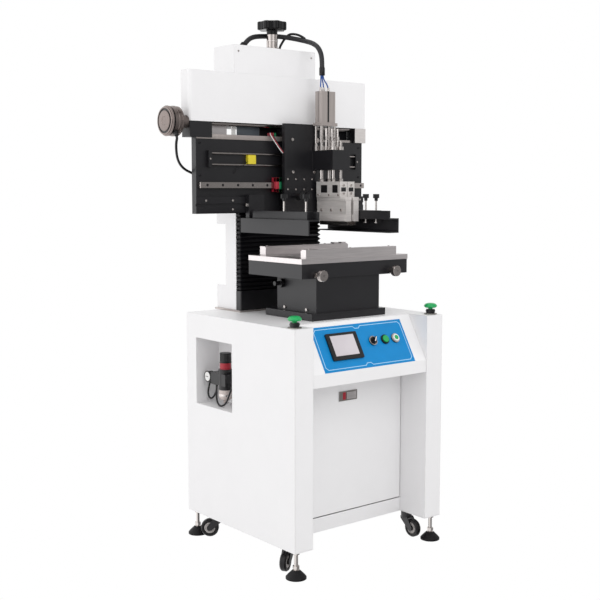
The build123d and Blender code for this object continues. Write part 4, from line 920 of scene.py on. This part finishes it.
class PRINTER_OT_carriage(bpy.types.Operator):
    """Dresses the carriage with screws, seals, wires, nuts, rods and fittings"""

    bl_idname = "printer.carriage"
    bl_label = "Squeegee carriage"

    def execute(self, context):
        paint_by_place(
            "carriage_plate", ("anodised", "black_abs"), lambda x, y, z: y < 82.5 and z < 1130
        )
        paint_by_place("squeegee_cylinders", ("steel", "cylinder"), lambda x, y, z: z > 1343)
        places = [(4, 113, 1294), (6, 113, 1189), (95, 113, 1190)]
        radius = context.scene.printer_sizes.screw_head * 1000
        cap_screws("carriage_screws", places, FRONT, radius, "carriage")
        places = grid((-15, 18, 53, 86), 113, (1166, 1133))
        cap_screws("bearing_screws", places, FRONT, 3.2, "carriage")
        # End seals: open round the lower rail, a small one at the upper rail
        for name, x0, x1, finish in (
            ("red_seal", -51, -38, "seal_red"), ("green_seal", -38, -27.6, "seal_green")
        ):
            corners = (
                ((x0, 129, 1124.5), (x1, 141, 1171)),
                ((x0, 129, 1156.5), (x1, 153, 1171)),
                ((x0, 129, 1124.5), (x1, 153, 1135.5)),
                ((x0 + 3, 158, 1303), (x1 + 1, 180, 1316)),
            )
            block_group(name, corners, 1.0, finish, "carriage")
        for name, shift, finish in (
            ("white_seal_wire", 0, "white_abs"),
            ("red_seal_wire", 5, "seal_red"),
            ("black_seal_wire", 9, "hose"),
        ):
            route = (
                (-50 + shift, 160, 1314), (-58 + shift, 152, 1316), (-62 + shift, 142, 1306),
                (-52 + shift, 132, 1284), (-40 + shift, 124, 1262), (-30 + shift, 120, 1250),
            )
            cord_curve(name, route, 1.2, finish, "carriage")

        steps = [(7.2, 1260), (7.2, 1276), (6.0, 1278), (6.0, 1284), (4.4, 1284.6)]
        parts = [(steps, at(x, y, 0), UP, 6) for x in (97, 154) for y in (78, 105)]
        turned_group("post_nuts", parts, "steel", "carriage", smooth=0)
        bushes = (
            (32, [(9.5, 1260), (9.5, 1270), (8.0, 1272), (6.2, 1272), (5.8, 1268)]),
            (91.5, [(10.5, 1260), (10.5, 1274), (9.0, 1276), (7.4, 1276), (7.0, 1270)]),
        )
        parts = [(steps, at(x, y, 0), UP, 36) for x in (109.5, 141.5) for y, steps in bushes]
        turned_group("rod_bushes", parts, "steel", "carriage")
        rods = (
            (20, [(3.6, 1260), (3.6, 1330), (3.2, 1331)]),
            (6, [(6.4, 1292), (6.4, 1304), (5.8, 1304.6)]),
        )
        parts = [
            (steps, at(x, 58, 0), UP, sides) for x in (101, 125.5, 150) for sides, steps in rods
        ]
        turned_group("stop_rods", parts, "steel", "carriage")
        corners = (
            ((122.4, 75.4, 1353), (128.6, 76.6, 1452.6)), ((93.8, 89, 1353), (94.4, 91, 1452))
        )
        block_group("cylinder_slots", corners, 0, "black_abs", "carriage", smooth=0)
        steps = [(4.6, 1452), (4.6, 1458), (3.6, 1459), (3.6, 1464), (2.4, 1465)]
        parts = [(steps, at(x, 86.5, 0), UP, 20) for x in (101, 114, 134)]
        turned_group("air_fittings", parts, "steel", "carriage")
        return {"FINISHED"}


class PRINTER_OT_squeegees(bpy.types.Operator):
    """Adds the squeegees' bars, screws, nuts and painted shade in the gaps, and finishes their
    blades
    """

    bl_idname = "printer.squeegees"
    bl_label = "Squeegees"

    def execute(self, context):
        for side, x in (("left", 109.5), ("right", 141.5)):
            name = f"squeegee_{side}"
            paint_by_place(
                f"{side}_squeegee", ("squeegee", "steel"), lambda x, y, z: z < 1029.9 or z > 1158.5
            )
            cap_screws(f"{side}_blade_screws", grid(x - 11, (-22, 27, 76), 1066), LEFT, 4.6, name)
            low, high = (x - 13.5, -43, 1032), (x - 10.8, 98, 1052)
            machined(f"{side}_clamp_bar", low, high, 0.8, "squeegee", name)
            low, high = (x - 12.4, -45.4, 1096), (x + 12.4, 100.4, 1108.2)
            machined(f"{side}_holder_lip", low, high, 1.2, "squeegee", name)
            cap_screws(f"{side}_mount_screws", grid(x - 15, (-12, 34, 88), 1115), LEFT, 3.4, name)
            cap_screws(f"{side}_front_screws", grid(x, -20, (1146, 1120)), FRONT, 4.0, name)
            # Painted shade: black blocks fill the mount's two windows, and a thin black sheet lies
            # on its front between the screws
            corners = (
                ((x - 13.5, -7.9, 1122.1), (x + 13.5, 19.9, 1146.9)),
                ((x - 13.5, 44.1, 1122.1), (x + 13.5, 77.9, 1146.9)),
                ((x - 10, -20.5, 1126), (x + 10, -19.5, 1139)),
            )
            block_group(f"{side}_mount_gap_shade", corners, 0, "black_abs", name, smooth=0)
            parts = []
            for y, radius in ((91.5, 10.0), (32, 8.6)):
                steps = [(radius, 1158), (radius, 1166), (radius - 1.2, 1167.4)]
                parts.append((steps, at(x, y, 0), UP, 6))
            turned_group(f"{side}_rod_nuts", parts, "steel", name, smooth=0)
        return {"FINISHED"}


class PRINTER_OT_arms(bpy.types.Operator):
    """Adds the stencil arms' screws and finishes the clamps"""

    bl_idname = "printer.arms"
    bl_label = "Stencil arms"

    def execute(self, context):
        for side in ("left", "right"):
            for place in ("front", "rear"):
                name = f"{side}_{place}_clamp"
                paint_by_place(name, ("black_abs", "steel"), lambda x, y, z: z < 1095.9)
        steps = [(5.6, 0), (5.6, 1.6), (5.2, 2.0), (5.2, 6.0), (4.4, 6.8), (2.8, 6.8), (2.6, 4.0)]
        for side, screw_x, bolt_x, direction in (
            ("left", -112, -159, LEFT), ("right", 171, 184, RIGHT)
        ):
            body = f"arm_{side}"
            cap_screws(f"{side}_block_screws", grid(screw_x, 131, (1103, 1060)), FRONT, 3.6, body)
            place = at(bolt_x, 137, 1084)
            turned(f"{side}_block_bolt", steps, place, direction, "steel", body, sides=24)
        return {"FINISHED"}


class PRINTER_OT_bellows(bpy.types.Operator):
    """Folds the bellows between its base box and the print head"""

    bl_idname = "printer.bellows"
    bl_label = "Bellows"

    def execute(self, context):
        low, high, folds, deep = 805.0, 1057.0, 18, 6.0
        half_x, half_y, middle_y = 168.0, 12.5, 177.5
        deselect_all()
        bpy.ops.mesh.primitive_plane_add(size=2, location=(0, 0, 0))
        piece = context.object
        piece.scale = ((half_x - deep) / 1000, (half_y - deep) / 1000, 1)
        apply_place(piece)
        start_editing("folded_bellows")
        bpy.ops.mesh.bevel(offset=0.0025, segments=2, affect="VERTICES")
        pitch = (high - low) / folds
        out = (half_x / (half_x - deep), half_y / (half_y - deep), 1)
        back = (1 / out[0], 1 / out[1], 1)
        for fold in range(folds):
            # Each fold rises to its rounded tip, a short flat, and back to the valley
            for rise, factors in ((0.42, out), (0.16, None), (0.42, back)):
                extrude(rise * pitch)
                if factors:
                    bpy.ops.transform.resize(value=factors, center_override=(0, 0, 0))
        end_editing()
        apply_place(piece, Matrix.Translation(at(0, middle_y, low)))
        piece.data.materials.append(finishes["bellows"])
        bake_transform(piece)
        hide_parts("bellows")
        return {"FINISHED"}


BRIGHT_SIDE = Vector((-0.626, 0.78, 0.0))


def room_level(tree, path, direction, bright_side):
    """White to the eye, but bright at the left back and dim at the right front in reflections."""
    side = add_node(tree, "VectorMath", {0: direction, 1: bright_side}, operation="DOT_PRODUCT")
    level = add_node(
        tree,
        "MapRange",
        {
            "Value": side.outputs["Value"], "From Min": -0.7, "From Max": 0.8, "To Min": 0.35,
            "To Max": 1.5,
        },
    )
    mixed = add_node(
        tree,
        "Mix",
        {0: path.outputs["Is Glossy Ray"], 2: 1.0, 3: level.outputs[0]},
        data_type="FLOAT",
    )
    return mixed.outputs[0]


class PRINTER_OT_stage(bpy.types.Operator):
    """Sets the pale floor, the soft light and the camera"""

    bl_idname = "printer.stage"
    bl_label = "Floor, light and camera"

    def execute(self, context):
        scene = context.scene
        level = scene.printer_sizes.light
        deselect_all()
        bpy.ops.mesh.primitive_plane_add(size=80, location=(0, 0, -0.0005))
        floor = context.object
        floor.name = "floor"
        material, tree, shader = new_material("white_floor", linear("#dedede"), 0.9)
        path = add_node(tree, "LightPath")
        incoming = add_node(tree, "NewGeometry").outputs["Incoming"]
        mirrored = room_level(tree, path, incoming, -BRIGHT_SIDE)
        glow = add_node(tree, "Emission", {"Color": (1, 1, 1, 1), "Strength": mirrored})
        # The glow is for these rays only, so that the floor doesn't light the machine from below
        seen = path.outputs["Is Camera Ray"]
        for ray in ("Is Transmission Ray", "Is Glossy Ray"):
            seen = add_node(tree, "Math", {0: seen, 1: path.outputs[ray]}, operation="MAXIMUM")
            seen = seen.outputs[0]
        mixed = add_node(tree, "MixShader", {0: seen, 1: shader.outputs[0], 2: glow.outputs[0]})
        tree.links.new(mixed.outputs[0], tree.nodes["Material Output"].inputs["Surface"])
        floor.data.materials.append(material)

        world = bpy.data.worlds.new("soft_white_room")
        scene.world = world
        world.use_nodes = True
        tree = world.node_tree
        background = tree.nodes["Background"]
        path = add_node(tree, "LightPath")
        away = add_node(tree, "TexCoord").outputs["Generated"]
        mirrored = room_level(tree, path, away, BRIGHT_SIDE)
        strength = add_node(
            tree, "Mix", {0: path.outputs["Is Diffuse Ray"], 2: mirrored, 3: level},
            data_type="FLOAT",
        )
        background.inputs["Color"].default_value = (1, 1, 1, 1)
        tree.links.new(strength.outputs[0], background.inputs["Strength"])

        # Large softboxes: one high in front, one on the left that lights the side faces
        for name, place, aim, size, power in (
            ("front_softbox", (-400, -2600, 2600), (0, 0, 900), 2.2, 22.0),
            ("left_softbox", (-2600, 300, 1500), (0, 0, 800), 2.4, 14.0),
            ("right_softbox", (2600, -1200, 1700), (0, 0, 800), 2.0, 8.0),
        ):
            light = bpy.data.lights.new(name, "AREA")
            light.energy = power
            light.size = size
            lamp = bpy.data.objects.new(name, light)
            scene.collection.objects.link(lamp)
            lamp.location = at(*place)
            lamp.rotation_euler = (at(*aim) - at(*place)).to_track_quat("-Z", "Y").to_euler()

        camera = bpy.data.cameras.new("photo_view")
        camera.lens = 62.64
        camera.sensor_width = 36.0
        viewer = bpy.data.objects.new("photo_view", camera)
        scene.collection.objects.link(viewer)
        viewer.location = at(-2121.7, -2573.2, 1130.0)
        viewer.rotation_euler = (math.radians(84.0), 0, math.radians(-38.774))
        scene.camera = viewer
        scene.view_settings.view_transform = "Standard"
        return {"FINISHED"}


class PRINTER_PT_panel(bpy.types.Panel):
    """Lists the steps that dress the printer"""

    bl_idname = "PRINTER_PT_panel"
    bl_label = "Stencil printer"
    bl_space_type = "VIEW_3D"
    bl_region_type = "UI"
    bl_category = "Printer"

    def draw(self, context):
        column = self.layout.column()
        for operator in OPERATORS:
            column.operator(operator.bl_idname)
        for group in (context.scene.printer_colours, context.scene.printer_sizes):
            for key in group.bl_rna.properties.keys():
                if key not in ("rna_type", "name"):
                    column.prop(group, key)


OPERATORS = (
    PRINTER_OT_finishes, PRINTER_OT_console, PRINTER_OT_door, PRINTER_OT_undercarriage,
    PRINTER_OT_niche, PRINTER_OT_table, PRINTER_OT_bellows, PRINTER_OT_beam, PRINTER_OT_head,
    PRINTER_OT_carriage, PRINTER_OT_squeegees, PRINTER_OT_arms, PRINTER_OT_stage,
)


def register():
    for group in (PrinterColours, PrinterSizes, *OPERATORS, PRINTER_PT_panel):
        bpy.utils.register_class(group)
    bpy.types.Scene.printer_colours = bpy.props.PointerProperty(type=PrinterColours)
    bpy.types.Scene.printer_sizes = bpy.props.PointerProperty(type=PrinterSizes)


def unregister():
    del bpy.types.Scene.printer_sizes
    del bpy.types.Scene.printer_colours
    for group in reversed((PrinterColours, PrinterSizes, *OPERATORS, PRINTER_PT_panel)):
        bpy.utils.unregister_class(group)


def main():
    register()
    for operator in OPERATORS:
        group, name = operator.bl_idname.split(".")
        getattr(getattr(bpy.ops, group), name)()


if __name__ == "__main__":
    main()
